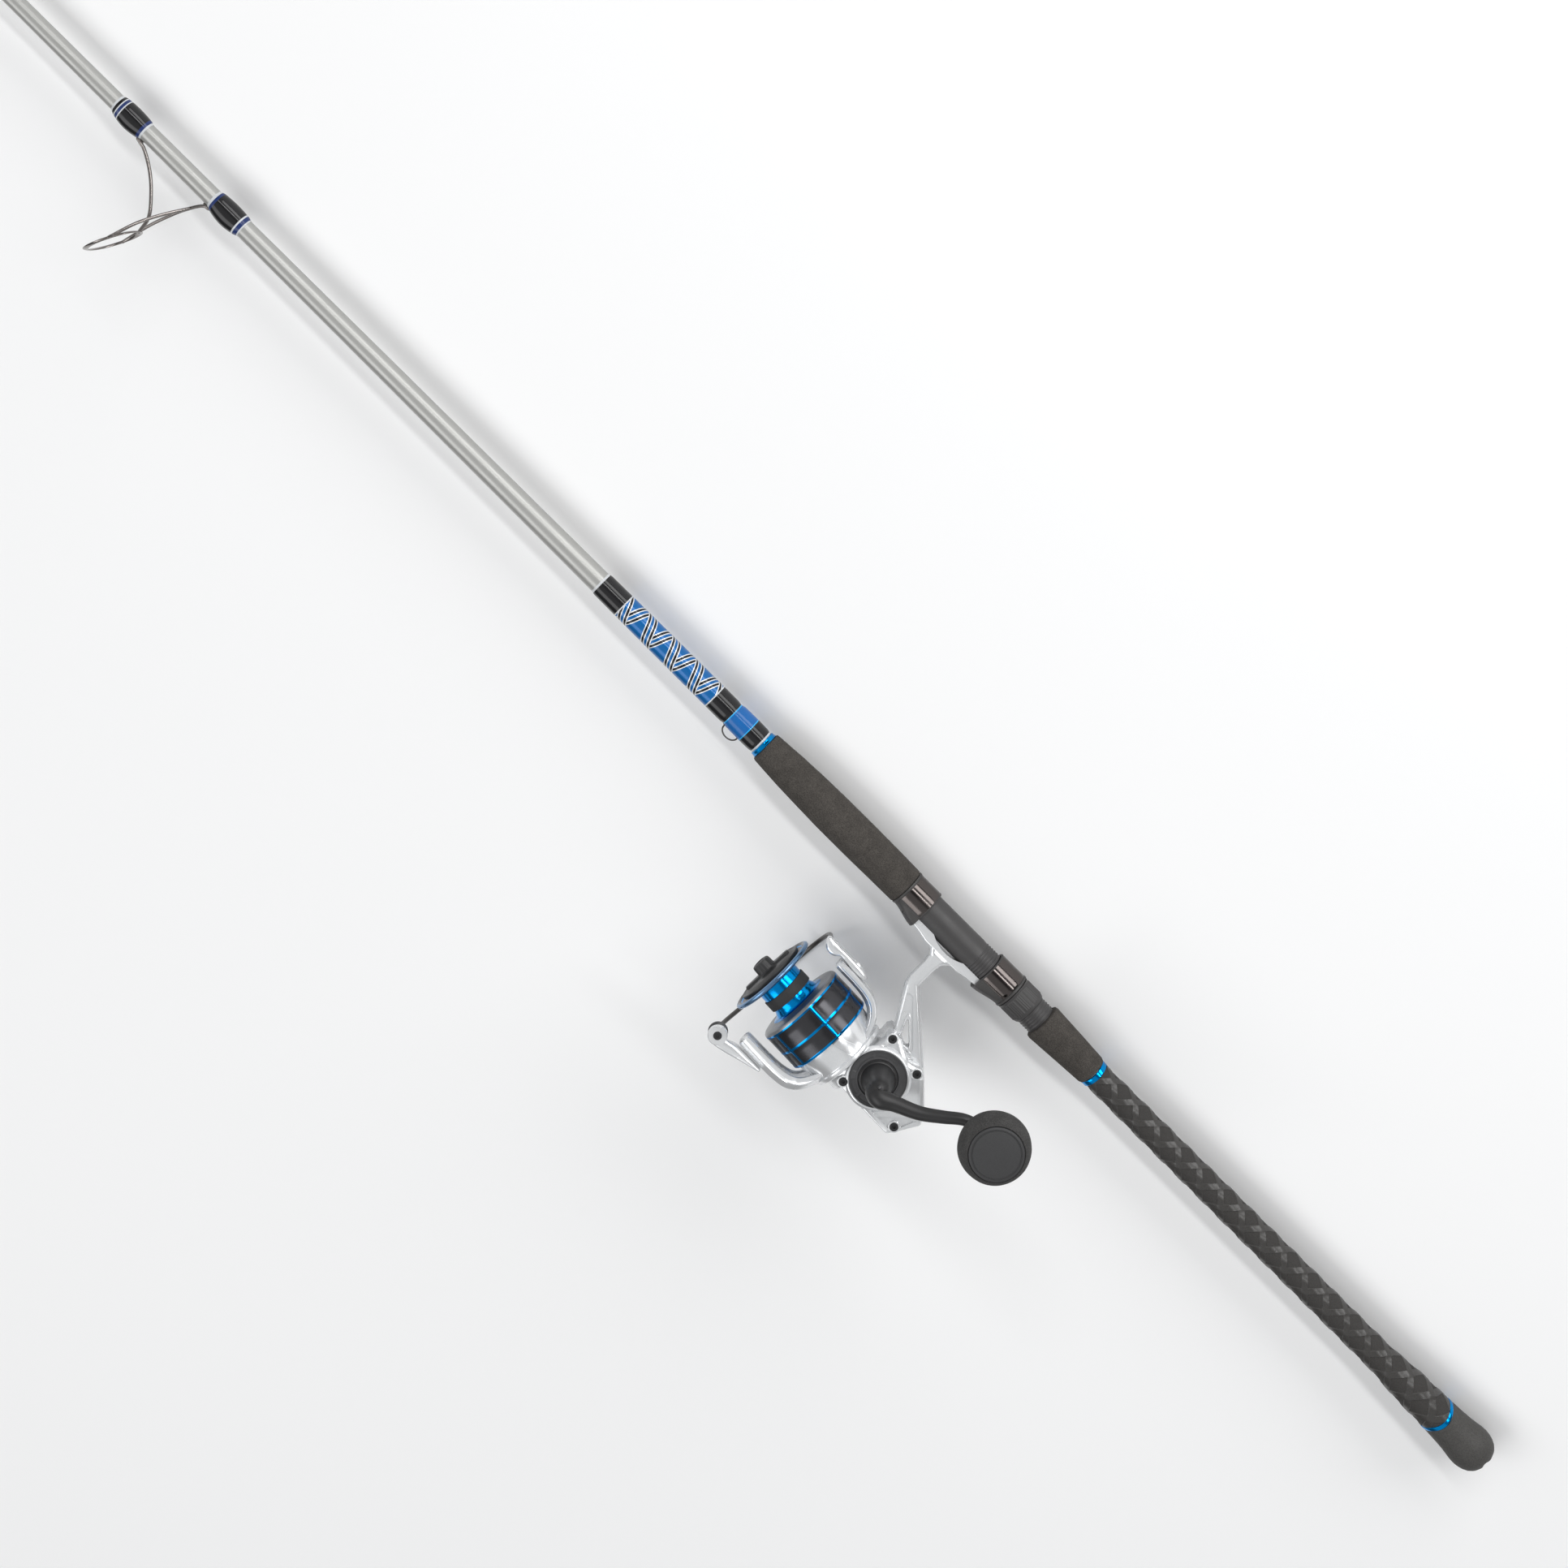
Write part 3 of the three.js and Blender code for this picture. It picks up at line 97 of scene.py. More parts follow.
class Graph:
    """A material whose nodes are made and joined one call at a time."""

    def __init__(self, name, color, rough, metal=0.0, coat=0.0, specular=0.5):
        self.material = bpy.data.materials.new(name)
        self.material.use_nodes = True
        self.nodes = self.material.node_tree.nodes
        self.links = self.material.node_tree.links
        self.shader = self.nodes["Principled BSDF"]
        start = {
            "Base Color": (*color, 1), "Roughness": rough, "Metallic": metal, "Coat Weight": coat,
            "Coat Roughness": 0.04, "Specular IOR Level": specular,
        }
        for socket, value in start.items():
            self.shader.inputs[socket].default_value = value
        self.here = self.node("ShaderNodeTexCoord").outputs["Object"]

    def node(self, kind, **settings):
        made = self.nodes.new(kind)
        for key, value in settings.items():
            setattr(made, key, value)
        return made

    def feed(self, socket, value):
        if isinstance(value, bpy.types.NodeSocket):
            self.links.new(value, socket)
        else:
            socket.default_value = value

    def math(self, operation, a, b=0.0):
        made = self.node("ShaderNodeMath", operation=operation)
        self.feed(made.inputs[0], a)
        self.feed(made.inputs[1], b)
        return made.outputs[0]

    def noise(self, size_mm, detail=3.0):
        made = self.node("ShaderNodeTexNoise")
        self.feed(made.inputs["Vector"], self.here)
        made.inputs["Scale"].default_value = 1 / (size_mm * MM)
        made.inputs["Detail"].default_value = detail
        return made.outputs[0]

    def span(self, value, low, high, start=0.3, end=0.7):
        made = self.node("ShaderNodeMapRange")
        for socket, number in zip(made.inputs, (value, start, end, low, high)):
            self.feed(socket, number)
        return made.outputs[0]

    def mix(self, share, a, b):
        made = self.node("ShaderNodeMix", data_type="RGBA")
        self.feed(made.inputs[0], share)
        self.feed(made.inputs[6], a if isinstance(a, bpy.types.NodeSocket) else (*a, 1))
        self.feed(made.inputs[7], b if isinstance(b, bpy.types.NodeSocket) else (*b, 1))
        return made.outputs[2]

    def color(self, value):
        self.feed(self.shader.inputs["Base Color"], value)

    def rough(self, value):
        self.feed(self.shader.inputs["Roughness"], value)

    def bump(self, height, depth_mm, strength=1.0):
        made = self.node("ShaderNodeBump")
        made.inputs["Distance"].default_value = depth_mm * MM
        made.inputs["Strength"].default_value = strength
        self.feed(made.inputs["Height"], height)
        if self.shader.inputs["Normal"].is_linked:
            self.links.new(self.shader.inputs["Normal"].links[0].from_socket, made.inputs["Normal"])
        self.links.new(made.outputs[0], self.shader.inputs["Normal"])

    def station_and_turn(self):
        uv = self.node("ShaderNodeUVMap").outputs[0]
        split = self.node("ShaderNodeSeparateXYZ")
        self.feed(split.inputs[0], uv)
        return split.outputs[1], split.outputs[0]


def shade(color, share):
    return tuple(min(1.0, channel * share) for channel in color)


def worked(name, color, rough, metal=0.0, tone=0.12, grain=0.6, relief=0.01, smear=0.06):
    """A surface with fine grain, its own relief, and larger smears that change its gloss."""
    graph = Graph(name, color, rough, metal)
    fine = graph.noise(grain, 4)
    broad = graph.noise(grain * 18 + 6, 2)
    graph.color(graph.mix(graph.span(fine, 0, 1), shade(color, 1 - tone), shade(color, 1 + tone)))
    graph.rough(graph.span(broad, max(0.02, rough - smear), rough + smear))
    graph.bump(fine, relief)
    return graph


def hoops(graph, station, pitch):
    """A wave across the rod, one for each turn of thread."""
    return graph.math("SINE", graph.math("MULTIPLY", station, TAU / pitch))


def threaded(name, color, rough=0.35):
    """Tightly wound thread under a clear coat: fine hoops across the rod."""
    graph = Graph(name, color, rough, coat=0.4, specular=0.2)
    hoop = hoops(graph, graph.station_and_turn()[0], 0.28)
    graph.color(graph.mix(graph.span(hoop, 0, 1, -1, 1), shade(color, 0.72), shade(color, 1.12)))
    graph.bump(hoop, 0.01, 0.4)
    return graph


def foam_look(name, color):
    graph = Graph(name, color, 0.92, specular=0.25)
    cells = graph.node("ShaderNodeTexVoronoi")
    graph.feed(cells.inputs["Vector"], graph.here)
    cells.inputs["Scale"].default_value = 1 / (0.55 * MM)
    speckle = graph.math("MULTIPLY", cells.outputs[0], graph.noise(0.9, 5))
    cloud = graph.span(graph.noise(7, 3), 0.85, 1.12)
    dark = graph.mix(graph.span(speckle, 0, 1, 0.05, 0.34), shade(color, 0.55), shade(color, 1.35))
    tinted = graph.node("ShaderNodeHueSaturation")
    graph.feed(tinted.inputs["Value"], cloud)
    graph.feed(tinted.inputs["Color"], dark)
    graph.color(tinted.outputs[0])
    graph.bump(speckle, 0.16, 0.8)
    graph.bump(graph.noise(2.4, 4), 0.12, 0.5)
    return graph


def pattern_look(name):
    """Crossed thread bundles, white and black over metallic blue, in both winding directions."""
    blue, white, black = (0.0, 0.115, 0.36), (0.72, 0.74, 0.76), (0.006, 0.006, 0.007)
    lead = 19.5
    crossing = 0.17
    stripes = (
        (0.0, 0.65, "white"), (0.65, 2.1, "black"), (2.1, 2.75, "white"),
        (4.55, 5.2, "white"), (5.2, 6.65, "black"), (6.65, 7.3, "white"),
    )
    graph = Graph(name, blue, 0.3, metal=0.2, coat=0.4, specular=0.2)
    station, turn = graph.station_and_turn()
    along = graph.math("DIVIDE", station, lead)
    shares = {"white": 0.0, "black": 0.0}
    for direction in ("ADD", "SUBTRACT"):
        turns = graph.math(direction, along, graph.math("ADD", turn, crossing))
        place = graph.math("MULTIPLY", graph.math("FRACT", turns), lead)
        uncovered = graph.math("SUBTRACT", 1.0, graph.math("LESS_THAN", place, stripes[-1][1]))
        found = {"white": 0.0, "black": 0.0}
        for start, end, kind in stripes:
            past = graph.math("GREATER_THAN", place, start)
            inside = graph.math("MULTIPLY", past, graph.math("LESS_THAN", place, end))
            found[kind] = graph.math("ADD", found[kind], inside)
        for kind in shares:
            kept = graph.math("MULTIPLY", shares[kind], uncovered)
            shares[kind] = graph.math("ADD", kept, found[kind])
    thread = hoops(graph, station, 0.3)
    base = graph.mix(graph.span(thread, 0, 1, -1, 1), shade(blue, 0.75), shade(blue, 1.2))
    graph.color(graph.mix(shares["white"], graph.mix(shares["black"], base, black), white))
    graph.bump(graph.math("ADD", shares["white"], shares["black"]), 0.06, 0.6)
    return graph


def lattice_look(name):
    """Woven tape over a dark tube: the raised tapes are glossier than the holes, and the recessed holes are
    painted darker than the tapes as painted shade.
    """
    graph = Graph(name, (0.03, 0.028, 0.026), 0.6)
    raised = graph.node("ShaderNodeAttribute", attribute_name="raised").outputs["Fac"]
    fine = graph.noise(0.7, 4)
    tape = graph.mix(graph.span(fine, 0, 1), (0.032, 0.03, 0.028), (0.046, 0.043, 0.04))
    # painted shade: the recessed holes between the tapes get a darker colour than the raised tapes
    hole = graph.mix(graph.span(fine, 0, 1), (0.024, 0.022, 0.02), (0.038, 0.035, 0.033))
    graph.color(graph.mix(raised, hole, tape))
    graph.rough(graph.span(raised, 0.8, 0.3, 0, 1))
    graph.bump(fine, 0.05, 0.5)
    return graph


SILVER = (0.76, 0.77, 0.78)
BLUE = (0.0, 0.25, 0.64)
CHARCOAL = (0.052, 0.047, 0.042)
LOOKS = {
    "blank": worked(
        "blank_paint", (0.38, 0.38, 0.365), 0.36, 0.45, tone=0.05, grain=0.5, relief=0.0004, smear=0.03),
    "butt": worked("pebbled_rubber", (0.045, 0.043, 0.04), 0.62, tone=0.3, grain=0.8, relief=0.14),
    "blue": worked("blue_anodised", BLUE, 0.18, 0.95, tone=0.06, grain=0.3, relief=0.001),
    "lattice": lattice_look("woven_grip"),
    "foam": foam_look("eva_foam", CHARCOAL),
    "knob_foam": foam_look("knob_foam", (0.045, 0.044, 0.043)),
    "seat": worked("seat_graphite", (0.042, 0.04, 0.04), 0.45, tone=0.12, grain=0.5, relief=0.012),
    "hood": worked("hood_chrome", (0.1, 0.088, 0.084), 0.14, 1.0, tone=0.05, grain=0.8, relief=0.001),
    "hood_matt": worked("hood_pocket", (0.04, 0.038, 0.037), 0.5, tone=0.15, grain=0.4, relief=0.02),
    "steel_dark": worked("gunmetal_wire", (0.24, 0.22, 0.21), 0.2, 1.0, tone=0.12, grain=0.8, relief=0.002),
    "wire": worked("bail_wire", (0.1, 0.095, 0.09), 0.3, 1.0, tone=0.12, grain=0.8, relief=0.002),
    "thread_blue": threaded("blue_thread", (0.003, 0.12, 0.4)),
    "thread_sky": threaded("sky_thread", (0.02, 0.42, 0.85)),
    "thread_navy": threaded("navy_thread", (0.012, 0.03, 0.13)),
    "thread_silver": threaded("silver_thread", (0.6, 0.62, 0.64)),
    "thread_black": threaded("black_thread", (0.008, 0.008, 0.009), rough=0.25),
    "pattern": pattern_look("cross_pattern"),
    "silver": worked("silver_alloy", SILVER, 0.24, 0.6, tone=0.05, grain=0.5, relief=0.006),
    "plate": worked("cover_plate", (0.075, 0.075, 0.077), 0.36, 0.4, tone=0.12, grain=0.35, relief=0.012),
    "black": worked("black_metal", (0.022, 0.022, 0.023), 0.4, 0.2, tone=0.15, grain=0.5, relief=0.008),
    "arm": worked("arm_black", (0.016, 0.0155, 0.016), 0.42, 0.15, tone=0.15, grain=0.4, relief=0.015),
    "cap": worked("cap_plastic", (0.03, 0.03, 0.031), 0.6, tone=0.15, grain=0.5, relief=0.03),
    "skirt": worked("skirt_graphite", (0.055, 0.055, 0.06), 0.24, 0.8, tone=0.12, grain=0.35, relief=0.004),
    "flange": worked("flange_grey", (0.27, 0.275, 0.285), 0.34, 0.95, tone=0.2, grain=0.5, relief=0.02),
    "lip": worked("lip_slate", (0.13, 0.24, 0.4), 0.26, 0.95, tone=0.08, grain=0.4, relief=0.004),
    "band": worked("band_rubber", (0.018, 0.018, 0.018), 0.7, tone=0.2, grain=0.4, relief=0.03),
    "steel": worked("turned_steel", (0.55, 0.55, 0.56), 0.25, 1.0, tone=0.08, grain=0.5, relief=0.003),
    "brass": worked("gear_brass", (0.7, 0.48, 0.18), 0.3, 1.0, tone=0.1, grain=0.5, relief=0.004),
    "nylon": worked("gear_nylon", (0.04, 0.04, 0.042), 0.5, tone=0.12, grain=0.5, relief=0.01),
    "felt": worked("drag_felt", (0.1, 0.1, 0.1), 0.9, tone=0.3, grain=0.4, relief=0.08),
}


def materials(*names):
    return [LOOKS[name].material for name in names]


# ---------------------------------------------------------------- shape helpers


@contextmanager
def editing(mesh):
    """Opens a mesh for bmesh work, and writes it back with its faces turned outwards."""
    work = bmesh.new()
    work.from_mesh(mesh)
    yield work
    bmesh.ops.recalc_face_normals(work, faces=work.faces)
    work.to_mesh(mesh)
    work.free()


def build(name, points, faces, place, looks, indices=None, uvs=None, crease=32):
    """A mesh object from local millimetre points, with smooth shading up to the crease angle."""
    mesh = bpy.data.meshes.new(name)
    mesh.from_pydata([place @ Vector(point) for point in points], [], faces)
    for material in materials(*looks):
        mesh.materials.append(material)
    if indices:
        mesh.polygons.foreach_set("material_index", indices)
    if uvs:
        layer = mesh.uv_layers.new(name="turn_and_station")
        layer.data.foreach_set("uv", [number for uv in uvs for number in uv])
    with editing(mesh):
        pass  # only to turn the faces outwards
    return creased(placed(name, mesh), crease)


def placed(name, data):
    made = bpy.data.objects.new(name, data)
    bpy.context.scene.collection.objects.link(made)
    return made


def creased(made, angle=32):
    made.data.shade_smooth()
    made.data.set_sharp_from_angle(angle=math.radians(angle))
    return made


def rounded(points, radius, steps=3):
    """An open outline with its corners rounded. A third item in a point, its look, is carried along."""
    made = [tuple(points[0])]
    for previous, point, following in zip(points, points[1:], points[2:]):
        corner = Vector(point[:2])
        before = Vector(previous[:2]) - corner
        after = Vector(following[:2]) - corner
        if before.length < 1e-6 or after.length < 1e-6 or before.angle(after) > math.radians(176):
            made.append(tuple(point))
            continue
        curve = corner_curve(before, corner, after, before.angle(after) / 2, radius, steps)
        made += [(*spot, *point[2:]) for spot in curve]
    return [*made, tuple(points[-1])]


def corner_curve(before, corner, after, half, radius, steps, least=0.0):
    """The points of one rounded corner, with its two sides as vectors and half the angle between them."""
    reach = max(least, min(radius / math.tan(half), 0.45 * before.length, 0.45 * after.length))
    start = corner + before.normalized() * reach
    end = corner + after.normalized() * reach
    shares = [k / steps for k in range(steps + 1)]
    return [start * (1 - t) ** 2 + corner * 2 * t * (1 - t) + end * t * t for t in shares]


def closed(profile):
    return [*profile, profile[0]]


def sleeve(start, end, inner, outer, edge=0.5):
    """The closed profile of a ring, with its two outer corners rounded."""
    return closed(rounded([(start, inner), (start, outer), (end, outer), (end, inner)], edge))


def lathe(
    name, profile, place, looks, sides=72, upright=False, warp=None, look_at=None, at=(0, 0), crease=32,
):
    """A turned shape about X, or about the Z axis through a point. The profile holds [station or height,
    radius] and may name the look of what follows; warp(station, radius, angle) gives them anew. The
    angle is 0 towards Z and grows towards Y on X shapes; on Z shapes it is 0 towards X."""
    points, rings = [], []
    for station, radius, *_ in profile:
        ring = []
        steps = 1 if radius < 1e-6 else sides
        for k in range(steps):
            angle = TAU * k / sides
            s, r = warp(station, radius, angle) if warp and steps > 1 else (station, radius)
            ring.append(len(points))
            if upright:
                points.append((at[0] + r * math.cos(angle), at[1] + r * math.sin(angle), s))
            else:
                points.append((-s, r * math.sin(angle), r * math.cos(angle)))
        rings.append(ring)
    faces, indices, uvs = [], [], []
    current = 0
    for i in range(len(profile) - 1):
        if len(profile[i]) > 2:
            current = looks.index(profile[i][2])
        a, b = rings[i], rings[i + 1]
        if len(a) == 1 and len(b) == 1:
            continue
        s0, s1 = profile[i][0], profile[i + 1][0]
        for k in range(sides):
            n = (k + 1) % sides
            u0, u1 = k / sides, (k + 1) / sides
            if len(a) == 1:
                face, uv = (a[0], b[n], b[k]), ((u0, s0), (u1, s1), (u0, s1))
            elif len(b) == 1:
                face, uv = (a[k], a[n], b[0]), ((u0, s0), (u1, s0), (u0, s1))
            else:
                face, uv = (a[k], a[n], b[n], b[k]), ((u0, s0), (u1, s0), (u1, s1), (u0, s1))
            faces.append(face)
            uvs.extend(uv)
            middle = ((s0 + s1) / 2, TAU * (k + 0.5) / sides)
            indices.append(look_at(current, *middle) if look_at else current)
    made = build(name, points, faces, place, looks, indices, uvs, crease)
    return merged(made) if profile[0][:2] == profile[-1][:2] else made


def spun(name, profile, look, at, sides=72, place=REEL, **more):
    """A turned shape of one look, whose axis stands parallel to the crank's."""
    return lathe(name, profile, place, [look], sides, upright=True, at=at, **more)


def merged(made):
    with editing(made.data) as work:
        bmesh.ops.remove_doubles(work, verts=work.verts, dist=1e-7)
    return made


# The knots of the Barry-Goldman pyramid, round by round.
KNOTS = (((0, 1), (1, 2), (2, 3)), ((0, 2), (1, 3)), ((1, 2),))


def catmull(points, steps):
    """A smooth centripetal curve through points of any dimension."""
    points = [Vector(point) for point in points]
    ends = [points[0] * 2 - points[1], *points, points[-1] * 2 - points[-2]]
    made = []
    for i in range(len(points) - 1):
        near = ends[i:i + 4]
        t = [0.0]
        for a, b in zip(near, near[1:]):
            t.append(t[-1] + max(1e-4, (b - a).length ** 0.5))
        for k in range(steps + (i == len(points) - 2)):
            u = t[1] + (t[2] - t[1]) * k / steps
            level = near
            for pairs in KNOTS:
                shares = [(u - t[low]) / (t[high] - t[low]) for low, high in pairs]
                level = [a * (1 - share) + b * share for share, a, b in zip(shares, level, level[1:])]
            made.append(level[0])
    return made


def tube(name, route, place, look, radius=None, sides=16, steps=10):
    """A round bar along [x, y, z] points, or [x, y, z, radius] ones, with rounded ends."""
    path = catmull(route, steps)
    spots = [Vector(point[:3]) for point in path]
    sizes = [radius if radius is not None else point[3] for point in path]
    first, last = spots[1] - spots[0], spots[-1] - spots[-2]
    caps = [(0.05, 1.0), (0.55, 0.84), (0.9, 0.45)]
    before = [(spots[0] - first.normalized() * sizes[0] * out, sizes[0] * share) for share, out in caps]
    after = [(spots[-1] + last.normalized() * sizes[-1] * out, sizes[-1] * share) for share, out in caps]
    rings = before + list(zip(spots, sizes)) + after[::-1]
    tangents = []
    for i in range(len(rings)):
        tangents.append((rings[min(i + 1, len(rings) - 1)][0] - rings[max(i - 1, 0)][0]).normalized())
    side = tangents[0].orthogonal().normalized()
    points = []
    for (spot, size), tangent in zip(rings, tangents):
        side = (side - tangent * side.dot(tangent)).normalized()
        up = tangent.cross(side)
        for k in range(sides):
            angle = TAU * k / sides
            points.append(spot + side * size * math.cos(angle) + up * size * math.sin(angle))
    return build(name, points, skin(len(rings), sides), place, [look], crease=40)


def skin(rings, sides):
    """The faces of a closed bar whose points run ring by ring, with a face at each end."""
    faces = [tuple(range(sides)), tuple(range((rings - 1) * sides, rings * sides))]
    for i in range(rings - 1):
        for k in range(sides):
            n = (k + 1) % sides
            faces.append((i * sides + k, i * sides + n, (i + 1) * sides + n, (i + 1) * sides + k))
    return faces


def inset(outline, distance):
    """An outline moved inwards, or outwards by a negative distance, keeping its corners' directions."""
    area = sum(a[0] * b[1] - b[0] * a[1] for a, b in zip(outline, outline[1:] + outline[:1]))
    turn = 1 if area > 0 else -1
    made = []
    for i, point in enumerate(outline):
        here = Vector(point)
        a = (here - Vector(outline[i - 1])).normalized()
        b = (Vector(outline[(i + 1) % len(outline)]) - here).normalized()
        normal_a, normal_b = Vector((-a.y, a.x)) * turn, Vector((-b.y, b.x)) * turn
        mitre = (normal_a + normal_b).normalized()
        made.append(tuple(here + mitre * distance / max(0.35, mitre.dot(normal_a))))
    return made


def cornered(outline, radius, steps=4):
    """A closed outline whose every corner is rounded into the same number of points."""
    made = []
    for i, point in enumerate(outline):
        corner = Vector(point)
        before = Vector(outline[i - 1]) - corner
        after = Vector(outline[(i + 1) % len(outline)]) - corner
        half = min(1.56, max(0.05, before.angle(after) / 2))
        made += [tuple(spot) for spot in corner_curve(before, corner, after, half, radius, steps, 0.01)]
    return made


def edge_levels(low, high, edges, steps):
    """Heights and insets of the rings that make a plate's rounded low and high edges."""
    levels = []
    for size, height, up in ((edges[0], low, 1), (edges[1], high, -1)):
        turns = [math.pi / 2 * k / steps for k in range(steps + 1)]
        side = [(height + up * size * (1 - math.cos(t)), size * (1 - math.sin(t))) for t in turns]
        side = side if size else [(height, 0)]
        levels += side if up == 1 else side[::-1]
    return levels


def plate(name, outline, low, high, edges=(0, 0), place=REEL, look="silver", holes=(), corner=0.0, steps=3):
    """A plate with rounded corners and edges. Its outline and holes hold sharp [station, height] corners,
    and edges is the size of its low and high edges."""
    mesh = bpy.data.meshes.new(name)
    mesh.materials.append(LOOKS[look].material)
    rims = []
    work = bmesh.new()
    for ring, inwards in ((outline, 1), *((hole, -1) for hole in holes)):
        rows = []
        for height, distance in edge_levels(low, high, edges, steps):
            moved = inset(ring, distance * inwards)
            if corner:
                moved = cornered(moved, max(0.2, corner - 0.5 * distance * inwards))
            rows.append([work.verts.new((-station, y, height)) for station, y in moved])
        for a, b in zip(rows, rows[1:]):
            for k in range(len(a)):
                n = (k + 1) % len(a)
                work.faces.new((a[k], a[n], b[n], b[k]))
        rims.append(rows)
    for end in (0, -1):
        loops = [rows[end] for rows in rims]
        if len(loops) == 1:
            work.faces.new(loops[0])
            continue
        borders = [work.edges.get(pair) for loop in loops for pair in zip(loop, loop[1:] + loop[:1])]
        bmesh.ops.triangle_fill(work, use_beauty=True, edges=borders)
    for vertex in work.verts:
        vertex.co = place @ vertex.co
    bmesh.ops.recalc_face_normals(work, faces=work.faces)
    work.to_mesh(mesh)
    work.free()
    return creased(placed(name, mesh))


def loft(name, spine, section, bend=None, crease=34):
    """A cast bar of the reel. The spine holds [station, height, half thickness, half width, middle]
    points, and the section holds [outwards, sideways] points of a square two units wide."""
    path = catmull(spine, 7)
    rows = []
    for i, (station, height, thick, wide, middle) in enumerate(path):
        a, b = path[max(i - 1, 0)], path[min(i + 1, len(path) - 1)]
        along = Vector((b[0] - a[0], b[1] - a[1])).normalized()
        rows.append((Vector((station, height)), along, thick, wide, middle))
    caps = ((0.5, 0.93), (0.82, 0.74), (0.97, 0.4))

    def end_cap(row, sign):
        spot, along, thick, wide, middle = row
        return [
            (spot + along * thick * out * 0.6 * sign, along, thick * share, wide * share, middle)
            for out, share in caps
        ]

    points = []
    rings = end_cap(rows[0], -1)[::-1] + rows + end_cap(rows[-1], 1)
    for spot, along, thick, wide, middle in rings:
        for out, side in section:
            point = (-(spot.x + along.y * thick * out), spot.y - along.x * thick * out, middle + wide * side)
            points.append(bend(*point) if bend else point)
    return build(name, points, skin(len(rings), len(section)), REEL, ["silver"], crease=crease)


def mirrored(half):
    """A closed section from its one side, whose points run from the outer middle to the inner one."""
    return [*half, *((out, -side) for out, side in half[-2:0:-1])]


def soft_section(power, count=24):
    """A superellipse, squarer for a higher power."""
    made = []
    for k in range(count):
        c, s = math.cos(TAU * k / count), math.sin(TAU * k / count)
        made.append((math.copysign(abs(c) ** (2 / power), c), math.copysign(abs(s) ** (2 / power), s)))
    return made


def post(name, low, high, radius, at, look="silver", sides=48, edge=0.0, place=REEL):
    profile = [(low, 0), (low, radius), (high, radius), (high, 0)]
    if edge:
        profile = rounded(profile, edge)
    return spun(name, profile, look, at, sides, place)


def carve(body, *tools, operation="DIFFERENCE"):
    """Cuts the tools out of a piece, or joins them to it, and removes them."""
    for tool in tools:
        modifier = body.modifiers.new("carve", "BOOLEAN")
        modifier.operation = operation
        modifier.solver = "EXACT"
        modifier.object = tool
        bpy.context.view_layer.update()
        mesh = bpy.data.meshes.new_from_object(body.evaluated_get(bpy.context.evaluated_depsgraph_get()))
        body.modifiers.clear()
        body.data = mesh
        bpy.data.objects.remove(tool)
    return creased(body)


def gather(name, *pieces):
    """Joins separate meshes into one piece, keeping their looks."""
    work = bmesh.new()
    looks = []
    for one in pieces:
        before = len(work.faces)
        work.from_mesh(one.data)
        work.faces.ensure_lookup_table()
        moved = []
        for material in one.data.materials:
            if material not in looks:
                looks.append(material)
            moved.append(looks.index(material))
        for face in work.faces[before:]:
            face.material_index = moved[face.material_index] if moved else 0
    mesh = bpy.data.meshes.new(name)
    work.to_mesh(mesh)
    work.free()
    for material in looks:
        mesh.materials.append(material)
    for one in pieces:
        bpy.data.objects.remove(one)
    return placed(name, mesh)


def joined(name, *pieces):
    return creased(gather(name, *pieces))


def fix(made, body, node):
    """Hangs a piece on its body and hides the CAD node it stands for."""
    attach(made, body)
    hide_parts(node)


def smoothstep(low, high, value):
    t = min(1.0, max(0.0, (value - low) / (high - low)))
    return t * t * (3 - 2 * t)


# ---------------------------------------------------------------- camera, floor and light

TARGET_STATION = 606.7
TARGET_DROP = 8.08
YAW = math.radians(5)
PITCH = math.radians(5)
ROLL = math.atan2(0.7046, 0.7096)  # the rod crosses the picture from corner to corner
CAMERA_DISTANCE = 1.6
LENS = 61.1


def camera():
    data = bpy.data.cameras.new("camera")
    data.lens = LENS
    data.clip_start = 0.02
    data.clip_end = 50
    made = placed("camera", data)
    turn = ROD.to_3x3().normalized()
    back = Vector((-math.sin(YAW), math.sin(PITCH) * math.cos(YAW), math.cos(YAW) * math.cos(PITCH)))
    along = Vector((1, 0, 0))
    along = (along - back * along.dot(back)).normalized()
    across = back.cross(along)
    right = along * math.cos(ROLL) + across * math.sin(ROLL)
    axes = [turn @ axis for axis in (right, back.cross(right), back)]
    place = Matrix(axes).transposed().to_4x4()
    place.translation = ROD @ Vector((-TARGET_STATION, -TARGET_DROP, 0)) + axes[2] * CAMERA_DISTANCE
    made.matrix_world = place
    bpy.context.scene.camera = made


def floor():
    half = 6.0
    mesh = bpy.data.meshes.new("floor")
    corners = [(-half, -half, 0), (half, -half, 0), (half, half, 0), (-half, half, 0)]
    mesh.from_pydata(corners, [], [(0, 1, 2, 3)])
    graph = Graph("floor_paint", (0.9, 0.9, 0.9), 0.9, specular=0.1)
    graph.color(graph.mix(graph.noise(900, 2), (0.895, 0.895, 0.895), (0.905, 0.905, 0.905)))
    mesh.materials.append(graph.material)
    placed("floor", mesh)


def lamp(name, toward, distance, size, power):
    """An area light that faces the reel from a direction in the rod's frame."""
    data = bpy.data.lights.new(name, "AREA")
    data.shape = "RECTANGLE"
    data.size, data.size_y = size
    data.energy = power
    made = placed(name, data)
    direction = (ROD.to_3x3().normalized() @ Vector(toward)).normalized()
    aim = ROD @ Vector((-TARGET_STATION, 0, 0))
    along = Vector((1, 0, 0))
    along = (along - direction * along.dot(direction)).normalized()
    place = Matrix((along, direction.cross(along), direction)).transposed().to_4x4()
    place.translation = aim + direction * distance
    made.matrix_world = place


